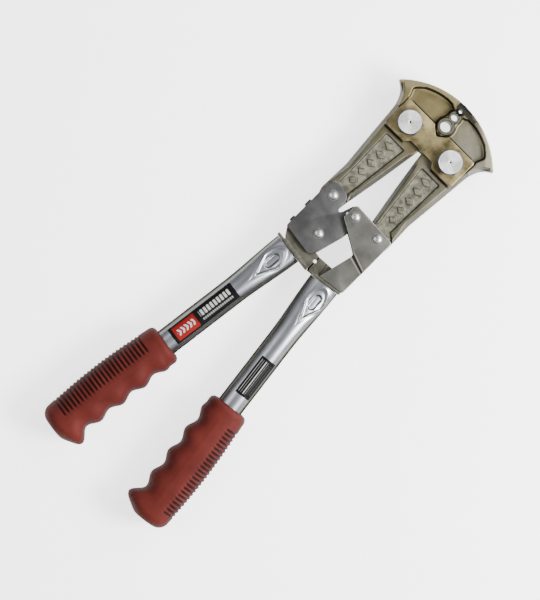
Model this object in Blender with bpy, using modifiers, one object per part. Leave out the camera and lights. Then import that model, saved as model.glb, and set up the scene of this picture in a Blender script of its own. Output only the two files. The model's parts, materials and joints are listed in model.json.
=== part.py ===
"""Two-handed sleeve crimping tool for fence wire, jaws closed, lying on its back.

Sizes are in millimetres and the helpers turn them into metres. Outlines are drawn in the design frame:
X across the tool, Y towards the jaws with Y = 0 on the two pivot bolts, Z through the thickness with
Z = 0 on the middle plane. The tool_frame empty puts the base of the tool's box at the world origin.
"""

import math

import bmesh
import bpy
from mathutils import Matrix, Vector

MM = 0.001
GAP = 0.3  # between pieces that touch

# Jaws
PIVOT_X = 24.5  # each pivot bolt from the middle line
ARM_LENGTH = 91.0  # bolt line to rivet line
RIVET_X = 27.0  # each jaw rivet from the middle line
CROWN_RADIUS = 82.0
CROWN_HEIGHT = 45.2  # bolt line to the top of the jaws
HORN_X = 57.5
JAW_HALF = 13.0  # half thickness at the crown rim and round the crimp holes
SEAT_HALF = 8.0  # half thickness under the straps, in the crown pockets and along the arms
ARM_FLOOR_HALF = 6.2  # half thickness at the floor of the arm pockets
ARM_END_HALF = 6.0  # half thickness between the handle plates
ARM_END_RADIUS = 12.5
ARM_SEAT_RADIUS = 13.2  # thinned round seat for the handle plates
CRIMP_HOLES = ((20.0, 5.0), (31.0, 3.3), (38.4, 1.9))  # height above the bolts, radius
JAW_SWING = math.radians(6.0)

# Straps and pivot bolts
STRAP_THICKNESS = 5.0
STRAP_HALF_WIDTH = 40.5
STRAP_RISE = 15.0
STRAP_DROP = 15.5
BOLT_SHANK_RADIUS = 6.0
HEX_ACROSS_FLATS = 21.0
BOLT_HEAD_HEIGHT = 9.0
NUT_HEIGHT = 6.5
NUT_ACROSS_FLATS = 19.0
THREAD_PROUD = 0.6

# Handle brackets
PLATE_THICKNESS = 4.0
RIVET_SHANK_RADIUS = 4.0
CENTRE_SHANK_RADIUS = 2.5
RIVET_HEAD_RADIUS = 4.6
RIVET_HEAD_HEIGHT = 2.2
BUSH_RADIUS = 6.0
SPACER_RADIUS = 7.5
BRACKET_DROP = 51.0  # rivet line to the bottom of the left plates
BRACKET_SHOULDER = 11.8  # right plates, from the jaw rivet out to their edge
BRACKET_RIVET_X = -12.5
BRACKET_RIVET_DROP = 32.4  # below the rivet line
JOGGLE_WIDTH = 6.5
STOP_X = 2.4  # where the two handle stops meet
STOP_DEPTH = 7.4  # stop tabs, below the left plates
FLANGE_THICKNESS = 2.6
FLANGE_LIP = 1.5  # how far a flange stands out past its tube
TANG_LENGTH = 38.0
TANG_HALF_WIDTH = 8.0
TANG_HALF_DEPTH = 4.0

# Tubes and grips
TUBE_TILT = math.radians(7.4)
TUBE_TOP_X = 22.0
TUBE_RADIUS = 12.1
TUBE_WALL = 1.8
TUBE_END_SPREAD = 2.4  # how much wider each side is where the end is pressed flat over the tang
TUBE_FLAT_LENGTH = 62.0
TUBE_DROP = 9.0  # from the bottom of the left plates to the top of the tubes
GRIP_START = 134.0
GRIP_LENGTH = 125.5
GRIP_CAP = 27.5  # from the tube's end to the grip's end
GRIP_HALF_DEPTH = 18.5
GRIP_OUTER = 19.0
GRIP_BULGE = 3.2
GRIP_INNER = 18.9
GROOVE_DEPTH = 1.9
GROOVE_PITCH = 24.2
GROOVE_FIRST_CREST = 38.0  # from the top of the grip
HEEL_FLARE = 5.6
HEEL_LENGTH = 24.0
LABEL_THICKNESS = 0.25
LABEL_GAP = 0.15

# Levels through the thickness, worked out from the sizes above
STRAP_LOW = SEAT_HALF + GAP
STRAP_HIGH = STRAP_LOW + STRAP_THICKNESS
INNER_PLATE_LOW = ARM_END_HALF + GAP
INNER_PLATE_HIGH = INNER_PLATE_LOW + PLATE_THICKNESS
OUTER_PLATE_LOW = INNER_PLATE_HIGH + GAP
OUTER_PLATE_HIGH = OUTER_PLATE_LOW + PLATE_THICKNESS
THREAD_END = STRAP_HIGH + GAP + NUT_HEIGHT + THREAD_PROUD
RIVET_HEAD_END = OUTER_PLATE_HIGH + GAP + RIVET_HEAD_HEIGHT
LOWEST = max(THREAD_END, GRIP_HALF_DEPTH, RIVET_HEAD_END)

RIVET_Y = -ARM_LENGTH
PLATE_BOTTOM_Y = RIVET_Y - BRACKET_DROP
TUBE_TOP_Y = PLATE_BOTTOM_Y - TUBE_DROP
TUBE_END_HALF_WIDTH = TUBE_RADIUS + TUBE_END_SPREAD
TUBE_LENGTH = GRIP_START + GRIP_LENGTH - GRIP_CAP
BRACKET_EDGE_X = RIVET_X + BRACKET_SHOULDER
BRACKET_RIVET = (BRACKET_RIVET_X, RIVET_Y - BRACKET_RIVET_DROP)
BOSS_FOOT_Y = CRIMP_HOLES[0][0] - 10.3  # the point of the ring boss, below the big crimp hole
GRIP_END_Y = TUBE_TOP_Y - (GRIP_START + GRIP_LENGTH) * math.cos(TUBE_TILT)
MIDDLE_Y = 0.5 * (CROWN_HEIGHT + GRIP_END_Y)

COLOURS = {
    "plated_jaw": ((0.36, 0.33, 0.22), 0.45, 0.9),
    "plated_strap": ((0.42, 0.37, 0.22), 0.4, 0.9),
    "bright_zinc": ((0.75, 0.75, 0.74), 0.3, 1.0),
    "cool_plate": ((0.16, 0.165, 0.17), 0.45, 0.8),
    "warm_plate": ((0.2, 0.185, 0.17), 0.45, 0.8),
    "forged_yoke": ((0.22, 0.21, 0.17), 0.5, 0.8),
    "tube_steel": ((0.6, 0.62, 0.66), 0.25, 1.0),
    "red_rubber": ((0.2, 0.02, 0.02), 0.6, 0.0),
    "label_black": ((0.01, 0.01, 0.01), 0.4, 0.0),
}


def clear_scene():
    for obj in list(bpy.data.objects):
        bpy.data.objects.remove(obj, do_unlink=True)


clear_scene()
parts = bpy.data.collections.new("sleeve_crimper")
cutters = bpy.data.collections.new("cutters")
for collection in (parts, cutters):
    bpy.context.scene.collection.children.link(collection)


def material(name):
    """The finish of that name, made once."""
    found = bpy.data.materials.get(name)
    if found:
        return found
    colour, roughness, metallic = COLOURS[name]
    made = bpy.data.materials.new(name)
    made.use_nodes = True
    shader = made.node_tree.nodes["Principled BSDF"]
    shader.inputs["Base Color"].default_value = (*colour, 1.0)
    shader.inputs["Roughness"].default_value = roughness
    shader.inputs["Metallic"].default_value = metallic
    made.diffuse_color = (*colour, 1.0)
    return made


# Frames: an empty on every joint's axis, and one at the top of each tube


def frame(name, x, y, turn=0.0, parent=None):
    """An empty in the design frame. design holds its matrix there, so that pieces can be placed from it."""
    empty = bpy.data.objects.new(name, None)
    empty.empty_display_size = 0.02
    parts.objects.link(empty)
    design = Matrix.Translation(Vector((x, y, 0.0)) * MM) @ Matrix.Rotation(turn, 4, "Z")
    empty.parent = parent
    parent_design = DESIGN[parent.name] if parent else Matrix.Identity(4)
    empty.matrix_basis = parent_design.inverted() @ design
    DESIGN[name] = design
    return empty


DESIGN = {}
tool_frame = bpy.data.objects.new("tool_frame", None)
parts.objects.link(tool_frame)
tool_frame.location = Vector((0.0, -MIDDLE_Y, LOWEST)) * MM
DESIGN["tool_frame"] = Matrix.Identity(4)
jaw_axis = {}
handle_axis = {}
tube_axis = {}
for side_name, side in (("left", -1), ("right", 1)):
    jaw_axis[side] = frame(f"jaw_{side_name}_axis", side * PIVOT_X, 0.0, parent=tool_frame)
    handle_axis[side] = frame(
        f"handle_{side_name}_axis", side * RIVET_X, RIVET_Y, parent=jaw_axis[side]
    )
    tube_axis[side] = frame(
        f"tube_{side_name}_axis", side * TUBE_TOP_X, TUBE_TOP_Y, side * TUBE_TILT, handle_axis[side]
    )


# Outlines


def arc(centre, radius, start, end, steps):
    """Points on a circle from one angle to another, in degrees."""
    points = []
    for step in range(steps + 1):
        angle = math.radians(start + (end - start) * step / steps)
        points.append((centre[0] + radius * math.cos(angle), centre[1] + radius * math.sin(angle)))
    return points


def circle(centre, radius, steps=24):
    return arc(centre, radius, 0.0, 360.0, steps)[:-1]


def bezier(start, control, end, steps):
    """Points on a quadratic curve, without its two ends."""
    points = []
    for step in range(1, steps):
        t = step / steps
        points.append(
            tuple(
                (1 - t) ** 2 * a + 2 * t * (1 - t) * b + t * t * c
                for a, b, c in zip(start, control, end)
            )
        )
    return points


def rounded(corners, steps=4):
    """A closed outline in which a corner given as (x, y, radius) is rounded."""
    points = []
    count = len(corners)
    for index, corner in enumerate(corners):
        here = Vector(corner[:2])
        if len(corner) == 2:
            points.append(tuple(here))
            continue
        to_last = (Vector(corners[index - 1][:2]) - here).normalized()
        to_next = (Vector(corners[(index + 1) % count][:2]) - here).normalized()
        half = to_last.angle(to_next) / 2
        bisector = (to_last + to_next).normalized()
        centre = here + bisector * corner[2] / math.sin(half)
        first = here + to_last * corner[2] / math.tan(half) - centre
        last = here + to_next * corner[2] / math.tan(half) - centre
        turn = first.angle_signed(last)
        for step in range(steps + 1):
            points.append(tuple(centre + Matrix.Rotation(-turn * step / steps, 2) @ first))
    return points


def mirrored(points, side):
    """The outline for that side of the tool: outlines are drawn for the left side."""
    return [(-side * x, y) for x, y in points]


# Solids


def link(obj, parent, finish, local=False):
    """Puts a piece in its collection, under its parent. Its mesh is in the design frame unless local."""
    if finish is None:
        cutters.objects.link(obj)
        obj.hide_render = True
        obj.display_type = "WIRE"
    else:
        parts.objects.link(obj)
        obj.data.materials.append(material(finish))
    obj.parent = parent
    if not local:
        obj.matrix_basis = DESIGN[parent.name].inverted()
    return obj


def from_bmesh(name, solid):
    bmesh.ops.recalc_face_normals(solid, faces=solid.faces)
    mesh = bpy.data.meshes.new(name)
    solid.to_mesh(mesh)
    solid.free()
    return bpy.data.objects.new(name, mesh)


def extruded(name, outlines, low, high, parent, finish, local=False, shape=None):
    """A plate: the first outline is its edge and the others are its holes. shape may bend the mesh."""
    curve = bpy.data.curves.new(name, "CURVE")
    curve.dimensions = "2D"
    curve.fill_mode = "BOTH"
    curve.extrude = 0.5 * (high - low) * MM
    for outline in outlines:
        spline = curve.splines.new("POLY")
        spline.points.add(len(outline) - 1)
        for point, (x, y) in zip(spline.points, outline):
            point.co = (x * MM, y * MM, 0.0, 1.0)
        spline.use_cyclic_u = True
    sketch = bpy.data.objects.new(name + "_sketch", curve)
    bpy.context.scene.collection.objects.link(sketch)
    graph = bpy.context.evaluated_depsgraph_get()
    mesh = bpy.data.meshes.new_from_object(sketch.evaluated_get(graph))
    bpy.data.objects.remove(sketch, do_unlink=True)
    solid = bmesh.new()
    solid.from_mesh(mesh)
    bpy.data.meshes.remove(mesh)
    bmesh.ops.remove_doubles(solid, verts=solid.verts, dist=1e-6)
    bmesh.ops.translate(solid, verts=solid.verts, vec=(0.0, 0.0, 0.5 * (high + low) * MM))
    if shape:
        shape(solid)
    return link(from_bmesh(name, solid), parent, finish, local)


def turned(name, profile, centre, parent, finish, steps=24, local=False):
    """A turned piece on an axis along Z. The profile lists (radius, z) from its top down its outer side."""
    mesh = bpy.data.meshes.new(name)
    points = [(radius * MM, 0.0, z * MM) for radius, z in profile]
    mesh.from_pydata(points, [(i, i + 1) for i in range(len(points) - 1)], [])
    obj = link(bpy.data.objects.new(name, mesh), parent, finish, local=True)
    place = Matrix.Translation(Vector((centre[0], centre[1], 0.0)) * MM)
    obj.matrix_basis = place if local else DESIGN[parent.name].inverted() @ place
    screw = obj.modifiers.new("turn", "SCREW")
    screw.steps = steps
    screw.render_steps = steps
    screw.use_merge_vertices = True
    screw.merge_threshold = 0.00001
    screw.use_smooth_shade = True
    return obj


def cut(obj, cutter, operation="DIFFERENCE"):
    boolean = obj.modifiers.new(cutter.name, "BOOLEAN")
    boolean.operation = operation
    boolean.object = cutter
    boolean.solver = "EXACT"


def both_faces(obj, name, outlines, level, parent, local=False):
    """Cuts an outline down to the level on the front and on the back."""
    deep = JAW_HALF + 5.0
    cut(obj, extruded(name + "_front", outlines, level, deep, parent, None, local))
    cut(obj, extruded(name + "_back", outlines, -deep, -level, parent, None, local))


# Jaws


def crown_point(x):
    """The point on the crown's arc at that distance from the middle."""
    centre_y = CROWN_HEIGHT - CROWN_RADIUS
    return (x, centre_y + math.sqrt(CROWN_RADIUS**2 - x * x))


def jaw_outline():
    """The left jaw: crown arc, horn, outer flank, round arm end, inner edge, closing face."""
    face_x = -0.5 * GAP
    centre_y = CROWN_HEIGHT - CROWN_RADIUS
    first = math.degrees(math.acos(face_x / CROWN_RADIUS))
    last = math.degrees(math.acos(-HORN_X / CROWN_RADIUS))
    horn_y = crown_point(HORN_X)[1]
    shoulder = (-(STRAP_HALF_WIDTH + 3.9), 0.0)
    waist = (-(RIVET_X + ARM_END_RADIUS - 0.9), -0.7 * ARM_LENGTH)
    heel = (-(RIVET_X + ARM_END_RADIUS), RIVET_Y)
    throat = (-(0.5 * GAP + math.tan(JAW_SWING) * 17.0 + 0.2), -17.0)
    toe = (-(RIVET_X - ARM_END_RADIUS), RIVET_Y)
    points = arc((0.0, centre_y), CROWN_RADIUS, first, last, 14)
    points += [(-HORN_X, horn_y - 1.6)]
    points += bezier((-HORN_X, horn_y - 1.6), (-(HORN_X - 11.0), horn_y - 6.0), shoulder, 6)
    points += [shoulder]
    points += bezier(shoulder, (waist[0] - 2.6, 0.5 * waist[1] - 6.0), waist, 6)
    points += [waist]
    points += arc((-RIVET_X, RIVET_Y), ARM_END_RADIUS, 180.0, 360.0, 12)
    points += bezier(toe, (0.5 * (toe[0] + throat[0]) + 0.9, 0.5 * (toe[1] + throat[1])), throat, 5)
    points += [throat, (face_x - 0.2, 0.0), (face_x, 8.0)]
    return points


def crown_pocket():
    """The half-moon hollow between the rim and the boss round the crimp holes. It runs in under the strap."""
    low = STRAP_RISE - 2.0
    return rounded(
        [
            (-12.0, low),
            (-8.6, 27.0),
            (-8.0, 37.4, 1.5),
            (-22.0, 36.8),
            (-35.0, 32.4, 5.0),
            (-43.5, 24.0, 3.0),
            (-39.0, low),
        ]
    )


def seat_outline():
    """Everything below the crown except the boss: the strap's seat and the arm.

    The crown's lower edge slopes, so that it clears the strap when the jaw swings open.
    """
    top = STRAP_RISE + GAP
    side_x = STRAP_HALF_WIDTH + GAP
    slope = (side_x - PIVOT_X) * math.tan(JAW_SWING)
    far_x = HORN_X + 12.0
    far_y = RIVET_Y - 3.0 * ARM_END_RADIUS
    return [
        (-far_x, far_y),
        (8.0, far_y),
        (8.0, BOSS_FOOT_Y - 0.4),
        (-0.2, BOSS_FOOT_Y - 0.4),
        (-6.16, BOSS_FOOT_Y + 4.54),
        (-6.8, top),
        (-PIVOT_X, top),
        (-side_x, top + slope),
        (-side_x, 6.0),
        (-far_x, 6.0),
    ]


def arm_pocket():
    """The long cast hollow on the face of an arm."""
    low = RIVET_Y + 9.0
    top = -(STRAP_DROP + 4.3)
    return rounded(
        [
            (-(PIVOT_X + 8.0), top, 1.5),
            (-(RIVET_X + 4.4), low),
            (-(RIVET_X - 8.9), low),
            (-(PIVOT_X - 14.0), top, 1.5),
        ]
    )


def make_jaw(side, side_name):
    name = f"jaw_{side_name}"
    parent = jaw_axis[side]
    jaw = extruded(name, [mirrored(jaw_outline(), side)], -JAW_HALF, JAW_HALF, parent, "plated_jaw")
    both_faces(jaw, name + "_seat", [mirrored(seat_outline(), side)], SEAT_HALF, parent)
    pocket = mirrored(crown_pocket(), side)
    both_faces(jaw, name + "_pocket", [pocket], SEAT_HALF, parent)
    both_faces(jaw, name + "_arm", [mirrored(arm_pocket(), side)], ARM_FLOOR_HALF, parent)
    ring = circle((side * RIVET_X, RIVET_Y), ARM_SEAT_RADIUS, 32)
    both_faces(jaw, name + "_end", [ring], ARM_END_HALF, parent)
    through = JAW_HALF + 4.0
    holes = [((0.0, y), radius) for y, radius in CRIMP_HOLES]
    holes += [((side * PIVOT_X, 0.0), BOLT_SHANK_RADIUS + GAP)]
    holes += [((side * RIVET_X, RIVET_Y), RIVET_SHANK_RADIUS + GAP)]
    for index, (centre, radius) in enumerate(holes):
        outline = circle(centre, radius, 20)
        drill = extruded(f"{name}_hole_{index}", [outline], -through, through, parent, None)
        cut(jaw, drill)
    return jaw


# Straps, bolts and nuts


def make_strap(name, level, parent):
    """One of the two straps that carry the pivot bolts. level is +1 at the front and -1 at the back."""
    ear = PIVOT_X - 7.5  # inner end of the deep ends below the bolts
    waist = ear - 4.0
    waist_y = 4.6 - STRAP_DROP
    outline = rounded(
        [
            (-STRAP_HALF_WIDTH, STRAP_RISE, 2.0),
            (-STRAP_HALF_WIDTH, -STRAP_DROP, 4.0),
            (-ear, -STRAP_DROP, 1.5),
            (-waist, waist_y, 1.5),
            (waist, waist_y, 1.5),
            (ear, -STRAP_DROP, 1.5),
            (STRAP_HALF_WIDTH, -STRAP_DROP, 4.0),
            (STRAP_HALF_WIDTH, STRAP_RISE, 2.0),
            (8.0, STRAP_RISE),
            (6.9, BOSS_FOOT_Y + 3.74),
            (0.0, BOSS_FOOT_Y - 1.6),
            (-6.9, BOSS_FOOT_Y + 3.74),
            (-8.0, STRAP_RISE),
        ]
    )
    holes = [circle((x, 0.0), BOLT_SHANK_RADIUS + GAP) for x in (-PIVOT_X, PIVOT_X)]
    low, high = sorted((level * STRAP_LOW, level * STRAP_HIGH))
    return extruded(name, [outline, *holes], low, high, parent, "plated_strap")


def hexagon(centre, across_flats):
    """A hexagon with two corners on the Y direction."""
    radius = across_flats / math.sqrt(3.0)
    return arc(centre, radius, 90.0, 450.0, 6)[:-1]


def make_bolt(side, side_name):
    """Hex head on the front strap, chamfered to a turned disc, with the shank through to the nut."""
    centre = (side * PIVOT_X, 0.0)
    base = STRAP_HIGH + GAP
    top = base + BOLT_HEAD_HEIGHT
    flat = 0.5 * HEX_ACROSS_FLATS
    parent = tool_frame
    name = f"pivot_bolt_{side_name}"
    bolt = extruded(name, [hexagon(centre, HEX_ACROSS_FLATS)], base, top, parent, "bright_zinc")
    corner = flat * 2.0 / math.sqrt(3.0)
    dome = [
        (0.0, top - 0.6),
        (1.2, top - 0.1),
        (flat - 0.6, top - 0.1),
        (corner + 0.6, top - 1.9),
        (corner + 0.6, base - 1.0),
        (0.0, base - 1.0),
    ]
    cut(bolt, turned(name + "_chamfer", dome, centre, parent, None), "INTERSECT")
    shank = [(0.0, base + 2.0), (BOLT_SHANK_RADIUS, base + 2.0)]
    shank += [(BOLT_SHANK_RADIUS, 1.0 - THREAD_END), (BOLT_SHANK_RADIUS - 1.0, -THREAD_END)]
    shank += [(0.0, -THREAD_END)]
    cut(bolt, turned(name + "_shank", shank, centre, parent, None), "UNION")
    return bolt


def make_nut(side, side_name):
    centre = (side * PIVOT_X, 0.0)
    outlines = [hexagon(centre, NUT_ACROSS_FLATS), circle(centre, BOLT_SHANK_RADIUS + GAP)]
    high = -(STRAP_HIGH + GAP)
    name = f"pivot_nut_{side_name}"
    return extruded(name, outlines, high - NUT_HEIGHT, high, tool_frame, "bright_zinc")


# Handle brackets


def linkage_slip():
    """Where the centre rivet moves in the left tongue, when the jaws turn in a fixed ratio to the handles."""
    offset = RIVET_X - PIVOT_X

    def rivet_from_middle(jaw_angle):
        return (
            PIVOT_X + offset * math.cos(jaw_angle) - ARM_LENGTH * math.sin(jaw_angle)
        )

    full = math.acos(rivet_from_middle(JAW_SWING) / RIVET_X)
    points = []
    for step in range(9):
        handle = full * step / 8
        jaw = JAW_SWING * step / 8
        slip = 2.0 * (RIVET_X * math.cos(handle) - rivet_from_middle(jaw))
        points.append((-slip * math.cos(handle), -slip * math.sin(handle)))
    return points


def tongue_slot():
    """A slot round all the places that the centre rivet reaches in the tongue."""
    centre = Vector((0.0, RIVET_Y))
    spots = [Vector(point) for point in linkage_slip()]
    far = max(spots, key=lambda spot: spot.length)
    along = far.normalized() if far.length > 0 else Vector((-1.0, 0.0))
    across = Vector((-along.y, along.x))
    stray = max(abs(spot.dot(across)) for spot in spots)
    radius = CENTRE_SHANK_RADIUS + stray + GAP
    heading = math.degrees(math.atan2(along.y, along.x))
    points = arc(centre, radius, heading + 90.0, heading + 270.0, 10)
    points += arc(centre + far, radius, heading - 90.0, heading + 90.0, 10)
    return points


def left_plate_outline():
    """Lobe round the jaw rivet, notch, tongue up to the centre rivet, and the deep body below."""
    rivet = -RIVET_X
    y = RIVET_Y
    tip = CENTRE_SHANK_RADIUS + 4.0
    bottom = PLATE_BOTTOM_Y
    return rounded(
        [
            (rivet - 10.6, y + 10.0, 8.0),
            (rivet - 10.4, bottom + 3.8, 2.0),
            (-6.0, bottom - 0.8, 4.0),
            (-1.6, bottom + 7.0, 1.5),
            (4.8, y - 20.0, 3.0),
            (tip, y - 7.0, 5.0),
            (tip, y + tip, 5.0),
            (-7.6, y + tip, 3.5),
            (-10.8, y - 3.4, 3.0),
            (rivet + 12.6, y - 10.6, 1.5),
            (rivet + 11.4, y + 10.0, 8.0),
        ]
    )


def above_flange(x):
    """The height of the line that lies just above the flange of a yoke, at that distance from the middle."""
    rise = (FLANGE_THICKNESS + GAP) / math.cos(TUBE_TILT)
    return TUBE_TOP_Y + rise + (x - TUBE_TOP_X) * math.tan(TUBE_TILT)


def right_plate_outline():
    """Lobe over the tongue, strip above the opening, and the leg down to the flange."""
    y = RIVET_Y
    edge = BRACKET_EDGE_X
    bottom = PLATE_BOTTOM_Y
    return rounded(
        [
            (-7.3, y + 8.6, 4.0),
            (-7.3, y - 7.2, 2.0),
            (12.7, y - 18.4, 3.0),
            (22.3, y - 24.4, 3.0),
            (17.4, bottom + 6.6, 1.5),
            (14.2, above_flange(14.2)),
            (edge, above_flange(edge), 2.0),
            (edge, y + 4.8, 2.0),
            (edge - 2.0, y + 6.2, 2.0),
        ]
    )


def joggle(level):
    """Bends the leg of a right plate down to the level of the left plates, along a slanting line."""
    corner = Vector((20.0, RIVET_Y - 21.4))
    outer = Vector((BRACKET_EDGE_X, RIVET_Y - 27.2))
    along = (outer - corner).normalized()
    down = Vector((along.y, -along.x))
    drop = OUTER_PLATE_LOW - INNER_PLATE_LOW

    def shape(solid):
        for distance in (0.0, JOGGLE_WIDTH):
            spot = corner + down * distance
            bmesh.ops.bisect_plane(
                solid,
                geom=solid.verts[:] + solid.edges[:] + solid.faces[:],
                plane_co=(spot.x * MM, spot.y * MM, 0.0),
                plane_no=(down.x, down.y, 0.0),
                dist=1e-7,
            )
        for vertex in solid.verts:
            below = (vertex.co.xy / MM - corner).dot(down)
            vertex.co.z -= level * drop * MM * min(max(below / JOGGLE_WIDTH, 0.0), 1.0)

    return shape


def make_plates():
    left = handle_axis[-1]
    right = handle_axis[1]
    jaw_hole = RIVET_SHANK_RADIUS + GAP
    left_holes = [
        circle((-RIVET_X, RIVET_Y), jaw_hole, 20),
        circle(BRACKET_RIVET, jaw_hole, 20),
        tongue_slot(),
    ]
    right_holes = [
        circle((RIVET_X, RIVET_Y), jaw_hole, 20),
        circle((0.0, RIVET_Y), CENTRE_SHANK_RADIUS + GAP, 20),
    ]
    for level, face in ((1, "front"), (-1, "rear")):
        low, high = sorted((level * INNER_PLATE_LOW, level * INNER_PLATE_HIGH))
        outlines = [left_plate_outline(), *left_holes]
        extruded(f"left_{face}_plate", outlines, low, high, left, "cool_plate")
        low, high = sorted((level * OUTER_PLATE_LOW, level * OUTER_PLATE_HIGH))
        outlines = [right_plate_outline(), *right_holes]
        extruded(
            f"right_{face}_plate", outlines, low, high, right, "warm_plate", shape=joggle(level)
        )


def make_rivet(name, centre, face, radius, parent):
    """A rivet with a domed head against the plates at each end."""
    seat = face + GAP
    dome = []
    for step in range(5):
        angle = math.radians(90.0 - 72.0 * step / 4)
        dome.append(
            (RIVET_HEAD_RADIUS * math.cos(angle), seat + RIVET_HEAD_HEIGHT * math.sin(angle))
        )
    dome += [(RIVET_HEAD_RADIUS, seat), (radius, seat)]
    dome[0] = (0.0, dome[0][1])
    profile = dome + [(r, -z) for r, z in reversed(dome)]
    return turned(name, profile, centre, parent, "bright_zinc", steps=20)


def make_ring(name, centre, outer, inner, low, high, parent, finish):
    outlines = [circle(centre, outer), circle(centre, inner, 20)]
    return extruded(name, outlines, low, high, parent, finish)


def make_bracket_fasteners():
    left = handle_axis[-1]
    right = handle_axis[1]
    jaw_left_spot = (-RIVET_X, RIVET_Y)
    jaw_right_spot = (RIVET_X, RIVET_Y)
    centre_spot = (0.0, RIVET_Y)
    shank = RIVET_SHANK_RADIUS
    make_rivet("left_jaw_rivet", jaw_left_spot, INNER_PLATE_HIGH, shank, left)
    make_rivet("left_bracket_rivet", BRACKET_RIVET, INNER_PLATE_HIGH, shank, left)
    make_rivet("right_jaw_rivet", jaw_right_spot, OUTER_PLATE_HIGH, shank, right)
    make_rivet("centre_pivot_rivet", centre_spot, OUTER_PLATE_HIGH, CENTRE_SHANK_RADIUS, right)
    hole = CENTRE_SHANK_RADIUS + GAP
    make_ring(
        "centre_bush", centre_spot, BUSH_RADIUS, hole, -ARM_END_HALF, ARM_END_HALF, right, "bright_zinc"
    )
    for level, face in ((1, "front"), (-1, "rear")):
        low, high = sorted((level * INNER_PLATE_LOW, level * INNER_PLATE_HIGH))
        name = f"right_{face}_spacer"
        make_ring(name, jaw_right_spot, SPACER_RADIUS, shank + GAP, low, high, right, "warm_plate")


# Yokes: the block between the plates, the stop tab, the flange and the tang in the tube


def left_foot_outline():
    """Block between the left plates, with two lugs on its outer edge and the stop tab at its foot."""
    edge = -(RIVET_X + 9.6)
    lug = edge - 2.6
    top = RIVET_Y - 14.5
    bottom = PLATE_BOTTOM_Y - STOP_DEPTH
    stop = STOP_X - 0.5 * GAP
    return [
        (edge, top),
        (edge, top - 1.5),
        (lug, top - 1.5),
        (lug, top - 9.1),
        (edge, top - 9.1),
        (edge, top - 21.5),
        (lug, top - 21.5),
        (lug, top - 27.5),
        (edge, top - 27.5),
        (edge + 0.8, top - 33.5),
        (edge + 5.0, bottom + 4.0),
        (edge + 12.0, bottom),
        (stop, bottom),
        (stop, PLATE_BOTTOM_Y + 4.6),
        (-3.2, PLATE_BOTTOM_Y + 5.6),
        (1.2, top - 8.0),
        (1.2, top),
    ]


def right_foot_outline():
    """Block in the leg of the right plates, with its own stop tab."""
    top = RIVET_Y - 14.5
    bottom = PLATE_BOTTOM_Y - STOP_DEPTH
    edge = BRACKET_EDGE_X - 0.8
    stop = STOP_X + 0.5 * GAP
    return [
        (edge, top - 4.0),
        (24.4, top - 4.0),
        (24.0, top - 12.0),
        (18.8, PLATE_BOTTOM_Y + 5.6),
        (stop, PLATE_BOTTOM_Y + 4.6),
        (stop, bottom),
        (edge - 8.0, bottom),
        (edge, bottom + 3.0),
    ]


def box(name, low, high, parent):
    """A helper block between two corners, in its parent's own frame."""
    solid = bmesh.new()
    bmesh.ops.create_cube(solid, size=1.0)
    size = Vector(high) - Vector(low)
    bmesh.ops.scale(solid, vec=size * MM, verts=solid.verts)
    bmesh.ops.translate(solid, vec=0.5 * (Vector(high) + Vector(low)) * MM, verts=solid.verts)
    return link(from_bmesh(name, solid), parent, None, local=True)


def make_yoke(side, side_name):
    foot = left_foot_outline() if side < 0 else right_foot_outline()
    parent = handle_axis[side]
    tube = tube_axis[side]
    name = f"{side_name}_yoke"
    yoke = extruded(name, [foot], -ARM_END_HALF, ARM_END_HALF, parent, "forged_yoke")
    inner = (TUBE_TOP_X - side * STOP_X) / math.cos(TUBE_TILT) - 0.6
    ends = sorted((-side * inner, side * (TUBE_END_HALF_WIDTH + FLANGE_LIP)))
    depth = INNER_PLATE_HIGH
    low = (ends[0], 0.0, -depth)
    high = (ends[1], FLANGE_THICKNESS, depth)
    cut(yoke, box(name + "_flange", low, high, tube), "UNION")
    low = (-TANG_HALF_WIDTH, -TANG_LENGTH, -TANG_HALF_DEPTH)
    high = (TANG_HALF_WIDTH, FLANGE_THICKNESS - 0.5, TANG_HALF_DEPTH)
    cut(yoke, box(name + "_tang", low, high, tube), "UNION")
    if side < 0:
        through = ARM_END_HALF + 3.0
        hole = circle(BRACKET_RIVET, RIVET_SHANK_RADIUS + GAP, 20)
        cut(yoke, extruded(name + "_hole", [hole], -through, through, parent, None))
    return yoke


# Tubes, grips and labels, each in its tube's own frame with the tube running down -Y


def tube_section(down):
    """Half width and half depth of the tube at that distance from its top: its girth stays the same."""
    share = min(down / TUBE_FLAT_LENGTH, 1.0)
    ease = share * share * (3.0 - 2.0 * share)
    width = TUBE_END_HALF_WIDTH + (TUBE_RADIUS - TUBE_END_HALF_WIDTH) * ease
    return width, math.sqrt(2.0 * TUBE_RADIUS**2 - width * width)


def loft(name, rings, capped, parent, finish):
    """Joins rings of points, each the same number, into one skin along the tube."""
    solid = bmesh.new()
    loops = [[solid.verts.new(Vector(point) * MM) for point in ring] for ring in rings]
    for upper, lower in zip(loops, loops[1:]):
        for index in range(len(upper)):
            after = (index + 1) % len(upper)
            solid.faces.new((upper[index], upper[after], lower[after], lower[index]))
    if capped:
        solid.faces.new(loops[0])
        solid.faces.new(loops[-1])
    return link(from_bmesh(name, solid), parent, finish, local=True)


def make_tube(side, side_name):
    stations = [GAP]
    stations += [TUBE_FLAT_LENGTH * step / 6 for step in range(1, 7)]
    stations += [TUBE_LENGTH]
    rings = []
    for down in stations:
        width, depth = tube_section(down)
        ring = [
            (width * math.cos(math.tau * i / 32), -down, depth * math.sin(math.tau * i / 32))
            for i in range(32)
        ]
        rings.append(ring)
    tube = loft(f"{side_name}_tube", rings, False, tube_axis[side], "tube_steel")
    tube.data.shade_smooth()
    wall = tube.modifiers.new("wall", "SOLIDIFY")
    wall.thickness = TUBE_WALL * MM
    wall.offset = -1.0
    return tube


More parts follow.
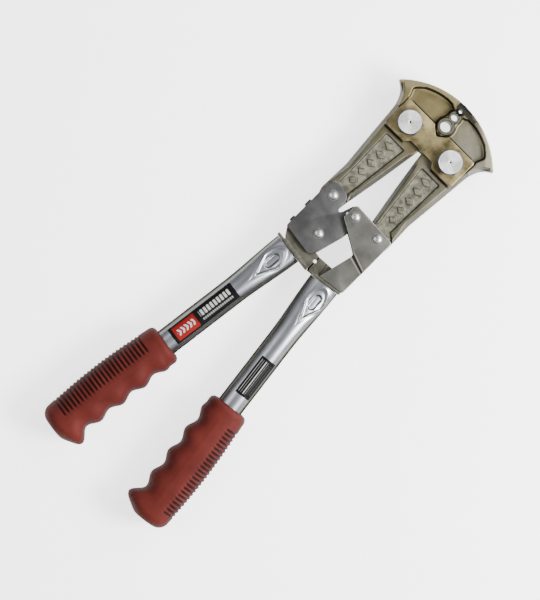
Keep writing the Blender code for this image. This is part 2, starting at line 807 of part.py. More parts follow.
def grip_reach(down):
    """How far the grip reaches from the tube's axis, outwards and towards the other handle."""
    share = down / GRIP_LENGTH
    outer = GRIP_OUTER + GRIP_BULGE * math.sin(math.pi * min(max(share * 1.05 - 0.03, 0.0), 1.0))
    inner = GRIP_INNER + GROOVE_DEPTH * math.cos(math.tau * (down - GROOVE_FIRST_CREST) / GROOVE_PITCH)
    crest = GROOVE_FIRST_CREST - GROOVE_PITCH
    if down < 0.7 * crest:
        inner = GRIP_INNER + 1.4
    heel = max(0.0, down - (GRIP_LENGTH - HEEL_LENGTH)) / HEEL_LENGTH
    inner += HEEL_FLARE * math.sin(math.pi * min(heel * 0.95, 1.0)) ** 2
    closing = rounding(down, 5.0) * rounding(GRIP_LENGTH - down, 9.0)
    return outer * closing, inner * closing, GRIP_HALF_DEPTH * closing


def rounding(distance, radius):
    """The share of full width that a rounded end leaves at that distance from it."""
    if distance >= radius:
        return 1.0
    hidden = radius - distance
    return 1.0 - (radius - math.sqrt(radius * radius - hidden * hidden)) / GRIP_OUTER


def make_grip(side, side_name):
    count = 36
    rings = []
    for step in range(count + 1):
        down = 0.5 * GRIP_LENGTH * (1.0 - math.cos(math.pi * step / count))
        outer, inner, depth = grip_reach(down)
        ring = []
        for i in range(24):
            angle = math.tau * i / 24
            reach = outer if math.cos(angle) > 0 else inner
            across = side * reach * math.cos(angle)
            ring.append((across, -(GRIP_START + down), depth * math.sin(angle)))
        rings.append(ring)
    name = f"{side_name}_grip"
    grip = loft(name, rings, True, tube_axis[side], "red_rubber")
    grip.data.shade_smooth()
    bore_end = -(TUBE_LENGTH + GAP)
    solid = bmesh.new()
    radius = (TUBE_RADIUS + GAP) * MM
    length = (TUBE_LENGTH + GAP - GRIP_START + 5.0) * MM
    bmesh.ops.create_cone(
        solid, cap_ends=True, segments=32, radius1=radius, radius2=radius, depth=length
    )
    bmesh.ops.rotate(solid, verts=solid.verts, matrix=Matrix.Rotation(math.pi / 2, 3, "X"))
    bmesh.ops.translate(solid, verts=solid.verts, vec=(0.0, bore_end * MM + length / 2, 0.0))
    cut(grip, link(from_bmesh(name + "_bore", solid), tube_axis[side], None, local=True))
    return grip


def make_label(name, side, start, length, spread):
    """A thin curved label on the front of the round stretch of a tube. spread is half its angle."""
    solid = bmesh.new()
    radius = TUBE_RADIUS + LABEL_GAP
    angles = [math.pi / 2 + spread * (2.0 * step / 10 - 1.0) for step in range(11)]
    loops = []
    for down in (start, start + length):
        points = [(radius * math.cos(a), -down, radius * math.sin(a)) for a in angles]
        loops.append([solid.verts.new(Vector(point) * MM) for point in points])
    for index in range(10):
        solid.faces.new(
            (loops[0][index], loops[0][index + 1], loops[1][index + 1], loops[1][index])
        )
    for face in solid.faces:
        face.normal_update()
        if face.normal.z < 0:
            face.normal_flip()
    mesh = bpy.data.meshes.new(name)
    solid.to_mesh(mesh)
    solid.free()
    label = link(bpy.data.objects.new(name, mesh), tube_axis[side], "label_black", local=True)
    film = label.modifiers.new("film", "SOLIDIFY")
    film.thickness = LABEL_THICKNESS * MM
    film.offset = 1.0
    return label


make_strap("front_strap", 1, tool_frame)
make_strap("rear_strap", -1, tool_frame)
make_plates()
make_bracket_fasteners()
for side_name, side in (("left", -1), ("right", 1)):
    make_jaw(side, side_name)
    make_bolt(side, side_name)
    make_nut(side, side_name)
    make_yoke(side, side_name)
    make_tube(side, side_name)
    make_grip(side, side_name)
make_label("left_label", -1, 58.5, 68.0, math.radians(40.0))
make_label("right_label", 1, 81.5, 39.0, math.radians(35.0))
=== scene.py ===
import json
import math

import bmesh
import bpy
from mathutils import Matrix, Vector


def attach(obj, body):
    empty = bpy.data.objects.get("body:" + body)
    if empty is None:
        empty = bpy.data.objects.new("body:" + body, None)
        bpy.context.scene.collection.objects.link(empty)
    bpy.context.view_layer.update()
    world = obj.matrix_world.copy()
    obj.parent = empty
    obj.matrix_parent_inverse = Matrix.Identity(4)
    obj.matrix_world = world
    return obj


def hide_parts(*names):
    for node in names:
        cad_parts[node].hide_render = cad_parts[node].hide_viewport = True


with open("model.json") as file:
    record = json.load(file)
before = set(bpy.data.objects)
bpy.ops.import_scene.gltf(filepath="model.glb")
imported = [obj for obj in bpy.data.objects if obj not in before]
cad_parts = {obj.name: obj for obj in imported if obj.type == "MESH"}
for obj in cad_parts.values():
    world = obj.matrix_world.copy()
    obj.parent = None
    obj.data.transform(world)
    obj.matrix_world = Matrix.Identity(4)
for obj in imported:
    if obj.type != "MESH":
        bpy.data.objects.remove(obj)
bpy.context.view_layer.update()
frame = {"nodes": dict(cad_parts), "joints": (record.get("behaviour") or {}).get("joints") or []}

# the joints give the places of the bolts and rivets
# everything below is in millimetres from the bolt line, and toWorld takes it to metres
joints = {joint["name"]: joint for joint in frame["joints"]}
boltSpot = Vector(joints["jaw_left_pivot"]["pos_m"])
rivetSpot = Vector(joints["handle_left_pivot"]["pos_m"])
boltX = -boltSpot.x * 1000
rivetX = -rivetSpot.x * 1000
rivetY = (rivetSpot.y - boltSpot.y) * 1000
toWorld = Matrix.Translation((0, boltSpot.y, boltSpot.z)) @ Matrix.Scale(0.001, 4)
sides = (("left", -1), ("right", 1))


def arcPoints(centre, radius, start, end, steps):
    points = []
    for step in range(steps + 1):
        angle = math.radians(start + (end - start) * step / steps)
        points.append((centre[0] + radius * math.cos(angle), centre[1] + radius * math.sin(angle)))
    return points


def curvePoints(start, control, end, steps):  # quadratic curve, ends left out
    points = []
    for step in range(1, steps):
        t = step / steps
        a, b, c = (1 - t) ** 2, 2 * t * (1 - t), t * t
        points.append(tuple(a * s + b * m + c * e for s, m, e in zip(start, control, end)))
    return points


def roundCorners(corners, steps=6):  # corners are (x, y) or (x, y, radius)
    points = []
    for index, corner in enumerate(corners):
        here = Vector(corner[:2])
        if len(corner) == 2:
            points.append(tuple(here))
            continue
        toLast = (Vector(corners[index - 1][:2]) - here).normalized()
        toNext = (Vector(corners[(index + 1) % len(corners)][:2]) - here).normalized()
        half = toLast.angle(toNext) / 2
        centre = here + (toLast + toNext).normalized() * corner[2] / math.sin(half)
        first = here + toLast * corner[2] / math.tan(half) - centre
        last = here + toNext * corner[2] / math.tan(half) - centre
        turn = first.angle_signed(last)
        for step in range(steps + 1):
            points.append(tuple(centre + Matrix.Rotation(-turn * step / steps, 2) @ first))
    return points


def smoothStep(low, high, value):
    share = min(max((value - low) / (high - low), 0.0), 1.0)
    return share * share * (3 - 2 * share)


def prism(outline, low, high):  # a flat outline pushed up into a solid
    bm = bmesh.new()
    face = bm.faces.new([bm.verts.new((x, y, low)) for x, y in outline])
    grown = bmesh.ops.extrude_face_region(bm, geom=[face])["geom"]
    top = [v for v in grown if isinstance(v, bmesh.types.BMVert)]
    bmesh.ops.translate(bm, vec=(0, 0, high - low), verts=top)
    bmesh.ops.recalc_face_normals(bm, faces=bm.faces)
    return bm


def taperedPrism(outline, low, high, draft):  # draft(x, y) gives how far the top edge leans inwards
    bm = bmesh.new()
    loop = [bm.verts.new((x, y, low)) for x, y in outline]
    face = bm.faces.new(loop)
    spots = [vert.co.xy for vert in loop]
    area = sum(last.x * here.y - here.x * last.y for last, here in zip(spots[-1:] + spots, spots))
    inward = 1 if area > 0 else -1
    leans = []
    for index, here in enumerate(spots):
        before = (here - spots[index - 1]).normalized()
        after = (spots[(index + 1) % len(spots)] - here).normalized()
        normal = inward * Vector((-before.y - after.y, before.x + after.x)).normalized()
        spread = max(normal.dot(inward * Vector((-before.y, before.x))), 0.5)
        leans.append(normal * draft(*here) / spread)
    grown = bmesh.ops.extrude_face_region(bm, geom=[face])["geom"]
    top = {v for v in grown if isinstance(v, bmesh.types.BMVert)}
    for vert, lean in zip(loop, leans):
        above = next(e.other_vert(vert) for e in vert.link_edges if e.other_vert(vert) in top)
        above.co = (vert.co.x + lean.x, vert.co.y + lean.y, high)
    bmesh.ops.recalc_face_normals(bm, faces=bm.faces)
    return bm


def turned(profile, centre, steps=48):  # profile is (radius, z) from the top down the outer side
    bm = bmesh.new()
    verts = [bm.verts.new((centre[0] + r, centre[1], z)) for r, z in profile]
    edges = [bm.edges.new(pair) for pair in zip(verts, verts[1:])]
    bmesh.ops.spin(
        bm,
        geom=verts + edges,
        cent=(centre[0], centre[1], 0),
        axis=(0, 0, 1),
        angle=math.tau,
        steps=steps,
        use_merge=True,
    )
    bmesh.ops.remove_doubles(bm, verts=bm.verts, dist=0.0005)
    bmesh.ops.recalc_face_normals(bm, faces=bm.faces)
    return bm


def rod(radius, reach, centre, steps):
    return turned([(0, reach), (radius, reach), (radius, -reach), (0, -reach)], centre, steps)


def moved(bm, by):
    bmesh.ops.translate(bm, vec=by, verts=bm.verts)
    return bm


def rotated(bm, degrees, axis, centre=(0, 0, 0)):
    turn = Matrix.Rotation(math.radians(degrees), 3, axis)
    bmesh.ops.rotate(bm, cent=centre, matrix=turn, verts=bm.verts)
    return bm


def block(low, high):
    bm = bmesh.new()
    bmesh.ops.create_cube(bm, size=1)
    bmesh.ops.scale(bm, vec=Vector(high) - Vector(low), verts=bm.verts)
    return moved(bm, (Vector(high) + Vector(low)) / 2)


def mirrored(bm, axis):
    bmesh.ops.scale(bm, vec=[-1 if letter == axis else 1 for letter in "XYZ"], verts=bm.verts)
    bmesh.ops.reverse_faces(bm, faces=bm.faces)
    return bm


def everything(bm):
    return bm.verts[:] + bm.edges[:] + bm.faces[:]


def joined(*parts):
    bm = bmesh.new()
    for part in parts:
        mesh = bpy.data.meshes.new("join")
        part.to_mesh(mesh)
        part.free()
        bm.from_mesh(mesh)
        bpy.data.meshes.remove(mesh)
    return bm


def bothFaces(make):  # one solid on the front and its mirror image on the back
    return joined(make(), mirrored(make(), "Z"))


def rimEdges(bm, level, tolerance=0.01):  # edges between the flat face at that height and the sides
    found = []
    for edge in bm.edges:
        if len(edge.link_faces) != 2:
            continue
        if any(abs(v.co.z - level) > tolerance for v in edge.verts):
            continue
        steep = [abs(face.normal.z) < 0.9 for face in edge.link_faces]
        if any(steep) and not all(steep):
            found.append(edge)
    return found


def softenRim(bm, level, width, segments=3):
    bm.normal_update()
    bmesh.ops.bevel(
        bm,
        geom=rimEdges(bm, level),
        offset=width,
        affect="EDGES",
        segments=segments,
        profile=0.5,
        material=-1,
        clamp_overlap=True,
    )


def helper(name, bm):
    mesh = bpy.data.meshes.new(name)
    bm.to_mesh(mesh)
    bm.free()
    obj = bpy.data.objects.new(name, mesh)
    bpy.context.scene.collection.objects.link(obj)
    return obj


def carve(bm, steps):  # (boolean, solid), ("REMESH", size of a cell) or ("SMOOTH", rounds)
    base = helper("base", bm)
    tools = []
    for operation, value in steps:
        if operation == "REMESH":
            remesh = base.modifiers.new("grain", "REMESH")
            remesh.mode = "VOXEL"
            remesh.voxel_size = value
            continue
        if operation == "SMOOTH":
            smooth = base.modifiers.new("soft", "SMOOTH")
            smooth.iterations = value
            continue
        tools.append(helper("tool", value))
        cut = base.modifiers.new("cut", "BOOLEAN")
        cut.operation = operation
        cut.object = tools[-1]
        cut.solver = "MANIFOLD"
    graph = bpy.context.evaluated_depsgraph_get()
    mesh = bpy.data.meshes.new_from_object(base.evaluated_get(graph))
    result = bmesh.new()
    result.from_mesh(mesh)
    for obj in (base, *tools):
        bpy.data.objects.remove(obj, do_unlink=True)
    bpy.data.meshes.remove(mesh)
    return result


def makePiece(name, bm, body, finishes, replaced, place=toWorld, sharp=35):
    bmesh.ops.transform(bm, matrix=place, verts=bm.verts)
    mesh = bpy.data.meshes.new(name)
    bm.to_mesh(mesh)
    bm.free()
    for finish in finishes:
        mesh.materials.append(finish)
    mesh.shade_smooth()
    mesh.set_sharp_from_angle(angle=math.radians(sharp))
    piece = bpy.data.objects.new(name, mesh)
    bpy.context.scene.collection.objects.link(piece)
    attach(piece, body)
    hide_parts(*replaced)


def newFinish(name, settings):
    finish = bpy.data.materials.new(name)
    finish.use_nodes = True
    shader = finish.node_tree.nodes["Principled BSDF"]
    for socket, value in settings.items():
        shader.inputs[socket].default_value = value
    coords = finish.node_tree.nodes.new("ShaderNodeTexCoord")
    return finish, finish.node_tree, shader, coords.outputs["Object"]


def node(tree, kind, settings=None, **inputs):  # i0, i1 and so on are sockets by number
    made = tree.nodes.new(kind)
    for key, value in (settings or {}).items():
        setattr(made, key, value)
    for key, value in inputs.items():
        socket = made.inputs[int(key[1:]) if key[1:].isdigit() else key]
        if isinstance(value, bpy.types.NodeSocket):
            tree.links.new(value, socket)
        else:
            socket.default_value = value
    return made


def noise(tree, vector, scale, detail=4, roughness=0.55):
    sizes = {"Scale": scale, "Detail": detail, "Roughness": roughness}
    return node(tree, "ShaderNodeTexNoise", Vector=vector, **sizes).outputs["Fac"]


def stretched(tree, vector, scale, turn=0.0):
    made = node(tree, "ShaderNodeMapping", Vector=vector, Scale=scale, Rotation=(0, 0, turn))
    return made.outputs["Vector"]


def remap(tree, value, low, high, outLow=0.0, outHigh=1.0):
    made = node(tree, "ShaderNodeMapRange", i0=value, i1=low, i2=high, i3=outLow, i4=outHigh)
    return made.outputs["Result"]


def blendColours(tree, share, first, second):  # each is a socket, or red, green and blue
    first, second = ((*tone, 1) if isinstance(tone, tuple) else tone for tone in (first, second))
    made = node(tree, "ShaderNodeMix", {"data_type": "RGBA"}, i0=share, i6=first, i7=second)
    return made.outputs[2]


def calc(tree, operation, first, second=0.0):
    return node(tree, "ShaderNodeMath", {"operation": operation}, i0=first, i1=second).outputs[0]


def vectorCalc(tree, operation, **inputs):
    return node(tree, "ShaderNodeVectorMath", {"operation": operation}, **inputs).outputs


def times(tree, first, *others):
    for other in others:
        first = calc(tree, "MULTIPLY", first, other)
    return first


def most(tree, first, *others):
    for other in others:
        first = calc(tree, "MAXIMUM", first, other)
    return first


def bumpTo(tree, shader, height, strength, distance):
    bump = node(tree, "ShaderNodeBump", Height=height, Strength=strength, Distance=distance)
    tree.links.new(bump.outputs["Normal"], shader.inputs["Normal"])


def colourTo(tree, shader, colour):
    tree.links.new(colour, shader.inputs["Base Color"])


def sheenTo(tree, shader, grain, low, high):  # roughness that follows the grain
    tree.links.new(remap(tree, grain, 0.3, 0.7, low, high), shader.inputs["Roughness"])


def between(tree, value, low, high, soft=0.004):  # 1 inside a band, 0 outside
    rise = remap(tree, value, low - soft, low + soft)
    return times(tree, rise, remap(tree, value, high + soft, high - soft))


def distanceTo(tree, coords, x, y):  # from an upright line, in millimetres from the bolt line
    centre = (x * 0.001, boltSpot.y + y * 0.001, 0)
    flat = vectorCalc(tree, "MULTIPLY", i0=coords, i1=(1, 1, 0))[0]
    return times(tree, vectorCalc(tree, "DISTANCE", i0=flat, i1=centre)["Value"], 1000.0)


def steepness(tree, low, high):  # 0 on faces that look up or down, 1 on walls
    geometry = tree.nodes.new("ShaderNodeNewGeometry")
    upward = node(tree, "ShaderNodeSeparateXYZ", Vector=geometry.outputs["Normal"]).outputs["Z"]
    return remap(tree, calc(tree, "ABSOLUTE", upward), high, low)


def edgeWear(tree, low, high):
    geometry = tree.nodes.new("ShaderNodeNewGeometry")
    return remap(tree, geometry.outputs["Pointiness"], low, high)


print("helpers ready")


view = {
    "aim": (-0.0015, boltSpot.y - 0.194, boltSpot.z),
    "distance": 2.4,
    "coverHeight": 0.522,
    "turn": math.radians(45),
}
studio = {"floorSize": 3, "floorGlow": 2.2, "sky": 0.35}  # the floor glows so that it stays pale

cameraData = bpy.data.cameras.new("view")
cameraData.sensor_width = 36
cameraData.lens = 18 * view["distance"] / (view["coverHeight"] / 2)
camera = bpy.data.objects.new("view", cameraData)
camera.location = Vector(view["aim"]) + Vector((0, 0, view["distance"]))
camera.rotation_euler = (0, 0, view["turn"])
bpy.context.scene.collection.objects.link(camera)
bpy.context.scene.camera = camera

floorBm = bmesh.new()
bmesh.ops.create_grid(floorBm, x_segments=1, y_segments=1, size=studio["floorSize"])
floor = helper("floor", floorBm)
floorFinish, floorTree, floorShader, floorCoords = newFinish(
    "paleFloor", {"Roughness": 0.9, "Specular IOR Level": 0.1}
)
floorTone = remap(floorTree, noise(floorTree, floorCoords, 3), 0.3, 0.7)
floorPaint = blendColours(floorTree, floorTone, (0.925, 0.925, 0.925), (0.94, 0.94, 0.94))
colourTo(floorTree, floorShader, floorPaint)
floorShader.inputs["Emission Color"].default_value = (1, 1, 1, 1)
floorShader.inputs["Emission Strength"].default_value = studio["floorGlow"]
floor.data.materials.append(floorFinish)

lamps = {  # place, size, watts
    "key": ((1.0, 0.55, 0.95), 0.6, 62),
    "fill": ((-0.9, -0.7, 1.2), 1.0, 10),
    "far": ((0.3, 1.3, 1.1), 0.8, 22),
}
for name, (spot, size, power) in lamps.items():
    lampData = bpy.data.lights.new(name, "AREA")
    lampData.size = size
    lampData.energy = power
    lamp = bpy.data.objects.new(name, lampData)
    lamp.location = spot
    lamp.rotation_mode = "QUATERNION"
    lamp.rotation_quaternion = Vector(spot).to_track_quat("Z", "Y")
    bpy.context.scene.collection.objects.link(lamp)

world = bpy.data.worlds.new("studio")
bpy.context.scene.world = world
world.use_nodes = True
sky = world.node_tree.nodes["Background"]
sky.inputs["Color"].default_value = (1, 1, 1, 1)
sky.inputs["Strength"].default_value = studio["sky"]
print("camera, floor and light ready")


metals = {  # worn edges have a tone of their own on some of them; steep walls are painted dark as shade, and on one plate the sloping faces are painted light as a highlight
    "rivetSteel": {
        "tones": ((0.36, 0.36, 0.355), (0.55, 0.55, 0.54)),
        "sheen": (0.3, 0.42),
        "patches": 220,
        "specks": 1500,
        "bump": 0.12,
        "paintedWallShade": (0.012, 0.012, 0.014),
    },
    "platedStrap": {
        "tones": ((0.085, 0.07, 0.032), (0.37, 0.3, 0.15)),
        "sheen": (0.36, 0.52),
        "patches": 60,
        "specks": 900,
        "bump": 0.15,
        "worn": (0.36, 0.32, 0.2),
        "paintedWallShade": (0.02, 0.017, 0.01),
    },
    "coolPlate": {
        "tones": ((0.07, 0.07, 0.07), (0.112, 0.112, 0.11)),
        "sheen": (0.4, 0.55),
        "patches": 60,
        "specks": 800,
        "bump": 0.15,
        "paintedWallShade": (0.015, 0.015, 0.016),
    },
    "warmPlate": {
        "tones": ((0.108, 0.106, 0.094), (0.168, 0.164, 0.146)),
        "sheen": (0.4, 0.55),
        "patches": 60,
        "specks": 800,
        "bump": 0.15,
        "paintedWallShade": (0.018, 0.017, 0.015),
        "slopes": (0.5, 0.48, 0.43),
    },
    "forgedYoke": {
        "tones": ((0.06, 0.057, 0.042), (0.13, 0.123, 0.1)),
        "sheen": (0.42, 0.6),
        "patches": 90,
        "specks": 500,
        "bump": 0.3,
        "worn": (0.2, 0.19, 0.16),
        "paintedWallShade": (0.02, 0.019, 0.015),
    },
}


def metalFinish(name):
    metal = metals[name]
    settings = {"Metallic": 0.85, "Specular IOR Level": 0.25}
    finish, tree, shader, coords = newFinish(name, settings)
    patches = remap(tree, noise(tree, coords, metal["patches"], 5), 0.37, 0.63)
    colour = blendColours(tree, patches, *metal["tones"])
    if "worn" in metal:
        colour = blendColours(tree, edgeWear(tree, 0.52, 0.6), colour, metal["worn"])
    # steep walls painted dark as shade
    colour = blendColours(tree, steepness(tree, 0.5, 0.94), colour, metal["paintedWallShade"])
    # sloping faces, such as the joggle and the lobe bevel, painted light as a highlight
    if "slopes" in metal:
        lean = calc(tree, "SUBTRACT", 1.0, steepness(tree, 0.0, 1.0))
        colour = blendColours(tree, between(tree, lean, 0.76, 0.93, 0.02), colour, metal["slopes"])
    specks = noise(tree, coords, metal["specks"], 6, 0.7)
    colourTo(tree, shader, colour)
    sheenTo(tree, shader, specks, *metal["sheen"])
    bumpTo(tree, shader, specks, metal["bump"], 0.0004)
    return finish


jawTones = {
    "arm": ((0.07, 0.067, 0.045), (0.12, 0.115, 0.082)),
    "warm": ((0.1, 0.083, 0.033), (0.21, 0.172, 0.085)),
    "grey": ((0.15, 0.14, 0.1), (0.24, 0.225, 0.17)),
    "rims": ((0.25, 0.21, 0.11), (0.33, 0.3, 0.21)),
    "worn": (0.34, 0.32, 0.24),
    # near-black painted shade on the tip facets
    "paintedTipShade": (0.005, 0.005, 0.0055),
    # grime together with painted shade on the walls and along the strap
    "grimeAndShade": (0.02, 0.017, 0.01),
    # painted shade on the pocket wall round the boss
    "bossWallShade": (0.015, 0.013, 0.009),
    # flat ring tone, then painted shade for the chamfers
    "rings": ((0.11, 0.105, 0.083), (0.02, 0.02, 0.018)),
    "foot": (0.03, 0.022, 0.01),
}


def jawFinish():
    jaw, tones = jawShape, jawTones
    bigY, mediumY, tipY = (y for y, radius in jaw["holes"])
    settings = {"Metallic": 0.8, "Specular IOR Level": 0.15}
    finish, tree, shader, coords = newFinish("forgedJaw", settings)
    parts = node(tree, "ShaderNodeSeparateXYZ", Vector=coords).outputs
    across = times(tree, calc(tree, "ABSOLUTE", parts["X"]), 1000.0)
    along = times(tree, calc(tree, "SUBTRACT", parts["Y"], boltSpot.y), 1000.0)
    fromArc = distanceTo(tree, coords, 0.0, jaw["crownHeight"] - jaw["crownRadius"])
    fromTip = remap(tree, distanceTo(tree, coords, 0.0, tipY), 6.0, 4.0)

    # grey arms, a warm left crown and a pale right one
    wander = noise(tree, coords, 30, 3)
    patches = remap(tree, noise(tree, coords, 55, 5), 0.3, 0.7)
    arm, warm, grey = (blendColours(tree, patches, *tones[key]) for key in ("arm", "warm", "grey"))
    upward = calc(tree, "ADD", parts["Y"], times(tree, wander, 0.03))
    upward = remap(tree, upward, boltSpot.y - 0.03, boltSpot.y + 0.03)
    rightward = remap(tree, parts["X"], -0.006, 0.02)
    colour = blendColours(tree, upward, arm, blendColours(tree, rightward, warm, grey))
    rim = remap(tree, fromArc, jaw["crownRadius"] - 8.5, jaw["crownRadius"] - 6.5)
    colour = blendColours(tree, rim, colour, blendColours(tree, rightward, *tones["rims"]))
    colour = blendColours(tree, edgeWear(tree, 0.53, 0.62), colour, tones["worn"])

    # painted shade on the dark tip facets, at the tip and along the right rim
    tipShadeSpread = calc(tree, "ADD", parts["X"], times(tree, wander, 0.01))
    leftEnd = remap(tree, tipShadeSpread, -0.0035, -0.0005)
    rightEnd = remap(tree, tipShadeSpread, 0.036, 0.014)
    paintedTipShade = most(tree, times(tree, rim, leftEnd, rightEnd), fromTip)
    colour = blendColours(tree, paintedTipShade, colour, tones["paintedTipShade"])

    # grime and painted shade on the walls and round the strap
    inCrown = remap(tree, along, 13.0, 15.0)
    above, below = between(tree, along, 14.9, 16.4, 0.15), between(tree, along, -17.2, -15.4, 0.2)
    beside = between(tree, across, 40.3, 41.6, 0.15)
    seams = most(
        tree,
        times(tree, above, between(tree, across, 7.5, 36.0, 0.5)),
        times(tree, beside, between(tree, along, -15.0, 15.5, 0.3)),
        times(tree, below, between(tree, across, 17.0, 40.5, 0.5)),
    )
    grimeAndShade = most(
        tree,
        times(tree, steepness(tree, 0.35, 0.8), 0.75),
        times(tree, steepness(tree, 0.8, 0.97), 0.95, inCrown),
        times(tree, seams, 0.9),
    )
    inside = remap(tree, fromArc, jaw["crownRadius"] - 2.5, jaw["crownRadius"] - 3.5)
    colour = blendColours(tree, times(tree, grimeAndShade, inside), colour, tones["grimeAndShade"])

    # painted shade round the boss, and the grey rings of the two larger holes
    bigRing = calc(tree, "SUBTRACT", distanceTo(tree, coords, 0.0, bigY), 7.1)
    mediumRing = calc(tree, "SUBTRACT", distanceTo(tree, coords, 0.0, mediumY), 5.0)
    nearest = calc(tree, "MINIMUM", bigRing, mediumRing)
    colour = blendColours(tree, between(tree, nearest, 0.1, 1.0, 0.15), colour, tones["bossWallShade"])
    ring = times(tree, remap(tree, nearest, 0.15, -0.15), calc(tree, "SUBTRACT", 1.0, fromTip))
    # the ring's steep chamfer is painted dark as shade
    ringToneAndShade = blendColours(tree, steepness(tree, 0.6, 0.93), *tones["rings"])
    colour = blendColours(tree, ring, colour, ringToneAndShade)
    foot = remap(tree, distanceTo(tree, coords, 0.0, bigY - 9.2), 2.3, 1.4)
    colourTo(tree, shader, blendColours(tree, foot, colour, tones["foot"]))

    grain = noise(tree, coords, 900, 6, 0.65)
    sheenTo(tree, shader, grain, 0.36, 0.56)
    lumps = times(tree, noise(tree, coords, 260, 3), 1.5)
    bumpTo(tree, shader, calc(tree, "ADD", grain, lumps), 0.25, 0.0004)
    return finish


def castFinish():  # the rough floors of the arm pockets
    settings = {"Metallic": 0.6, "Roughness": 0.65}
    finish, tree, shader, coords = newFinish("castFloor", settings)
    patches = remap(tree, noise(tree, coords, 160, 6, 0.7), 0.35, 0.65)
    colour = blendColours(tree, patches, (0.055, 0.052, 0.036), (0.2, 0.19, 0.14))
    # steep pocket walls painted dark as shade
    paintedWallShade = steepness(tree, 0.75, 0.93)
    colourTo(tree, shader, blendColours(tree, paintedWallShade, colour, (0.018, 0.016, 0.01)))
    bumpTo(tree, shader, noise(tree, coords, 420, 6, 0.7), 0.7, 0.0006)
    return finish


def zincFinish():
    finish, tree, shader, coords = newFinish("brightZinc", {"Metallic": 1.0})
    patches = remap(tree, noise(tree, coords, 220, 5), 0.3, 0.7)
    colourTo(tree, shader, blendColours(tree, patches, (0.6, 0.6, 0.59), (0.8, 0.8, 0.8)))
    fine = noise(tree, coords, 1500, 4)
    sheenTo(tree, shader, fine, 0.24, 0.4)
    bumpTo(tree, shader, fine, 0.12, 0.0002)
    return finish


def turnedFinish():  # zinc with fine turned grooves round the two bolt axes
    finish, tree, shader, coords = newFinish("turnedZinc", {"Metallic": 1.0, "Anisotropic": 0.8})
    parts = node(tree, "ShaderNodeSeparateXYZ", Vector=coords).outputs
    across = calc(tree, "SUBTRACT", calc(tree, "ABSOLUTE", parts["X"]), boltX * 0.001)
    along = calc(tree, "SUBTRACT", parts["Y"], boltSpot.y)
    squares = calc(tree, "ADD", times(tree, across, across), times(tree, along, along))
    radius = calc(tree, "SQRT", squares)
    patches = remap(tree, noise(tree, coords, 220, 5), 0.3, 0.7)
    colour = blendColours(tree, patches, (0.72, 0.72, 0.7), (0.92, 0.92, 0.91))
    # the hex corners beyond the turned face are painted dark as shade
    rim = remap(tree, radius, 0.01005, 0.0102)
    colour = blendColours(tree, rim, colour, (0.1, 0.105, 0.12))
    # the centre mark's recess is painted dark as shade
    centreMarkShade = remap(tree, radius, 0.0011, 0.0009)
    colourTo(tree, shader, blendColours(tree, centreMarkShade, colour, (0.06, 0.06, 0.06)))
    fine = noise(tree, coords, 1500, 4)
    sheenTo(tree, shader, fine, 0.24, 0.4)

    # the shine runs round each axis
    turnY = times(tree, across, calc(tree, "SIGN", parts["X"]))
    sweep = node(tree, "ShaderNodeCombineXYZ", X=times(tree, along, -1.0), Y=turnY).outputs[0]
    sweep = vectorCalc(tree, "NORMALIZE", i0=sweep)[0]
    tree.links.new(sweep, shader.inputs["Tangent"])
    grooves = calc(tree, "SINE", times(tree, radius, math.tau / 0.0006))
    level = calc(tree, "SUBTRACT", 1.0, steepness(tree, 0.8, 0.97))
    height = calc(tree, "ADD", times(tree, grooves, level, 0.5), times(tree, fine, 0.6))
    bumpTo(tree, shader, height, 0.8, 0.00006)
    return finish


def tubeFinish(side):  # drawn tube with fine marks along its length
    settings = {"Metallic": 1.0, "Specular Tint": (0.12, 0.12, 0.115, 1)}
    finish, tree, shader, coords = newFinish(f"drawnTube{side}", settings)
    lengthways = stretched(tree, coords, (900, 14, 900), -side * tubeShape["tilt"])
    marks = noise(tree, lengthways, 1.0, 4)
    clouds = remap(tree, noise(tree, coords, 45, 4), 0.3, 0.7)
    colour = blendColours(tree, clouds, (0.36, 0.375, 0.41), (0.5, 0.515, 0.55))
    # the tube's flanks are painted dark as shade
    flankShade = steepness(tree, 0.55, 0.97)
    colourTo(tree, shader, blendColours(tree, flankShade, colour, (0.075, 0.073, 0.064)))
    sheenTo(tree, shader, marks, 0.27, 0.36)
    bumpTo(tree, shader, marks, 0.035, 0.0002)
    return finish


def rubberFinish():
    finish, tree, shader, coords = newFinish("redRubber", {"Specular IOR Level": 0.08})
    patches = remap(tree, noise(tree, coords, 40, 4), 0.3, 0.7)
    colour = blendColours(tree, patches, (0.062, 0.0095, 0.0075), (0.094, 0.0155, 0.012))
    dust = remap(tree, noise(tree, coords, 700, 6, 0.7), 0.55, 0.8, 0.0, 0.25)
    colour = blendColours(tree, dust, colour, (0.11, 0.02, 0.016))
    # steep sides of the grip painted dark as shade
    colour = blendColours(tree, steepness(tree, 0.1, 0.75), colour, (0.03, 0.002, 0.0018))
    # rib grooves painted dark as shade, by how deep each cut is
    ribs = node(tree, "ShaderNodeAttribute", {"attribute_name": "rib"}).outputs["Fac"]
    grooves = remap(tree, ribs, 0.2, 0.8, 0.0, 0.9)
    colourTo(tree, shader, blendColours(tree, grooves, colour, (0.008, 0.001, 0.001)))
    pores = noise(tree, coords, 1400, 4)
    sheenTo(tree, shader, pores, 0.5, 0.72)
    bumpTo(tree, shader, pores, 0.25, 0.0003)
    return finish


tubeShape = {
    "tilt": math.radians(7.4),
    "topX": 22.0,
    "topY": rivetY - 60.0,
    "radius": 12.05,
    "wall": 1.8,
    "endHalfWidth": 14.4,
    "flatLength": 62.0,
    "length": 200.0,
    "around": 144,
    "dimpleMiddle": 19.0,
    "dimpleTurn": math.radians(3.6),
    "dimpleShift": 3.2,
}


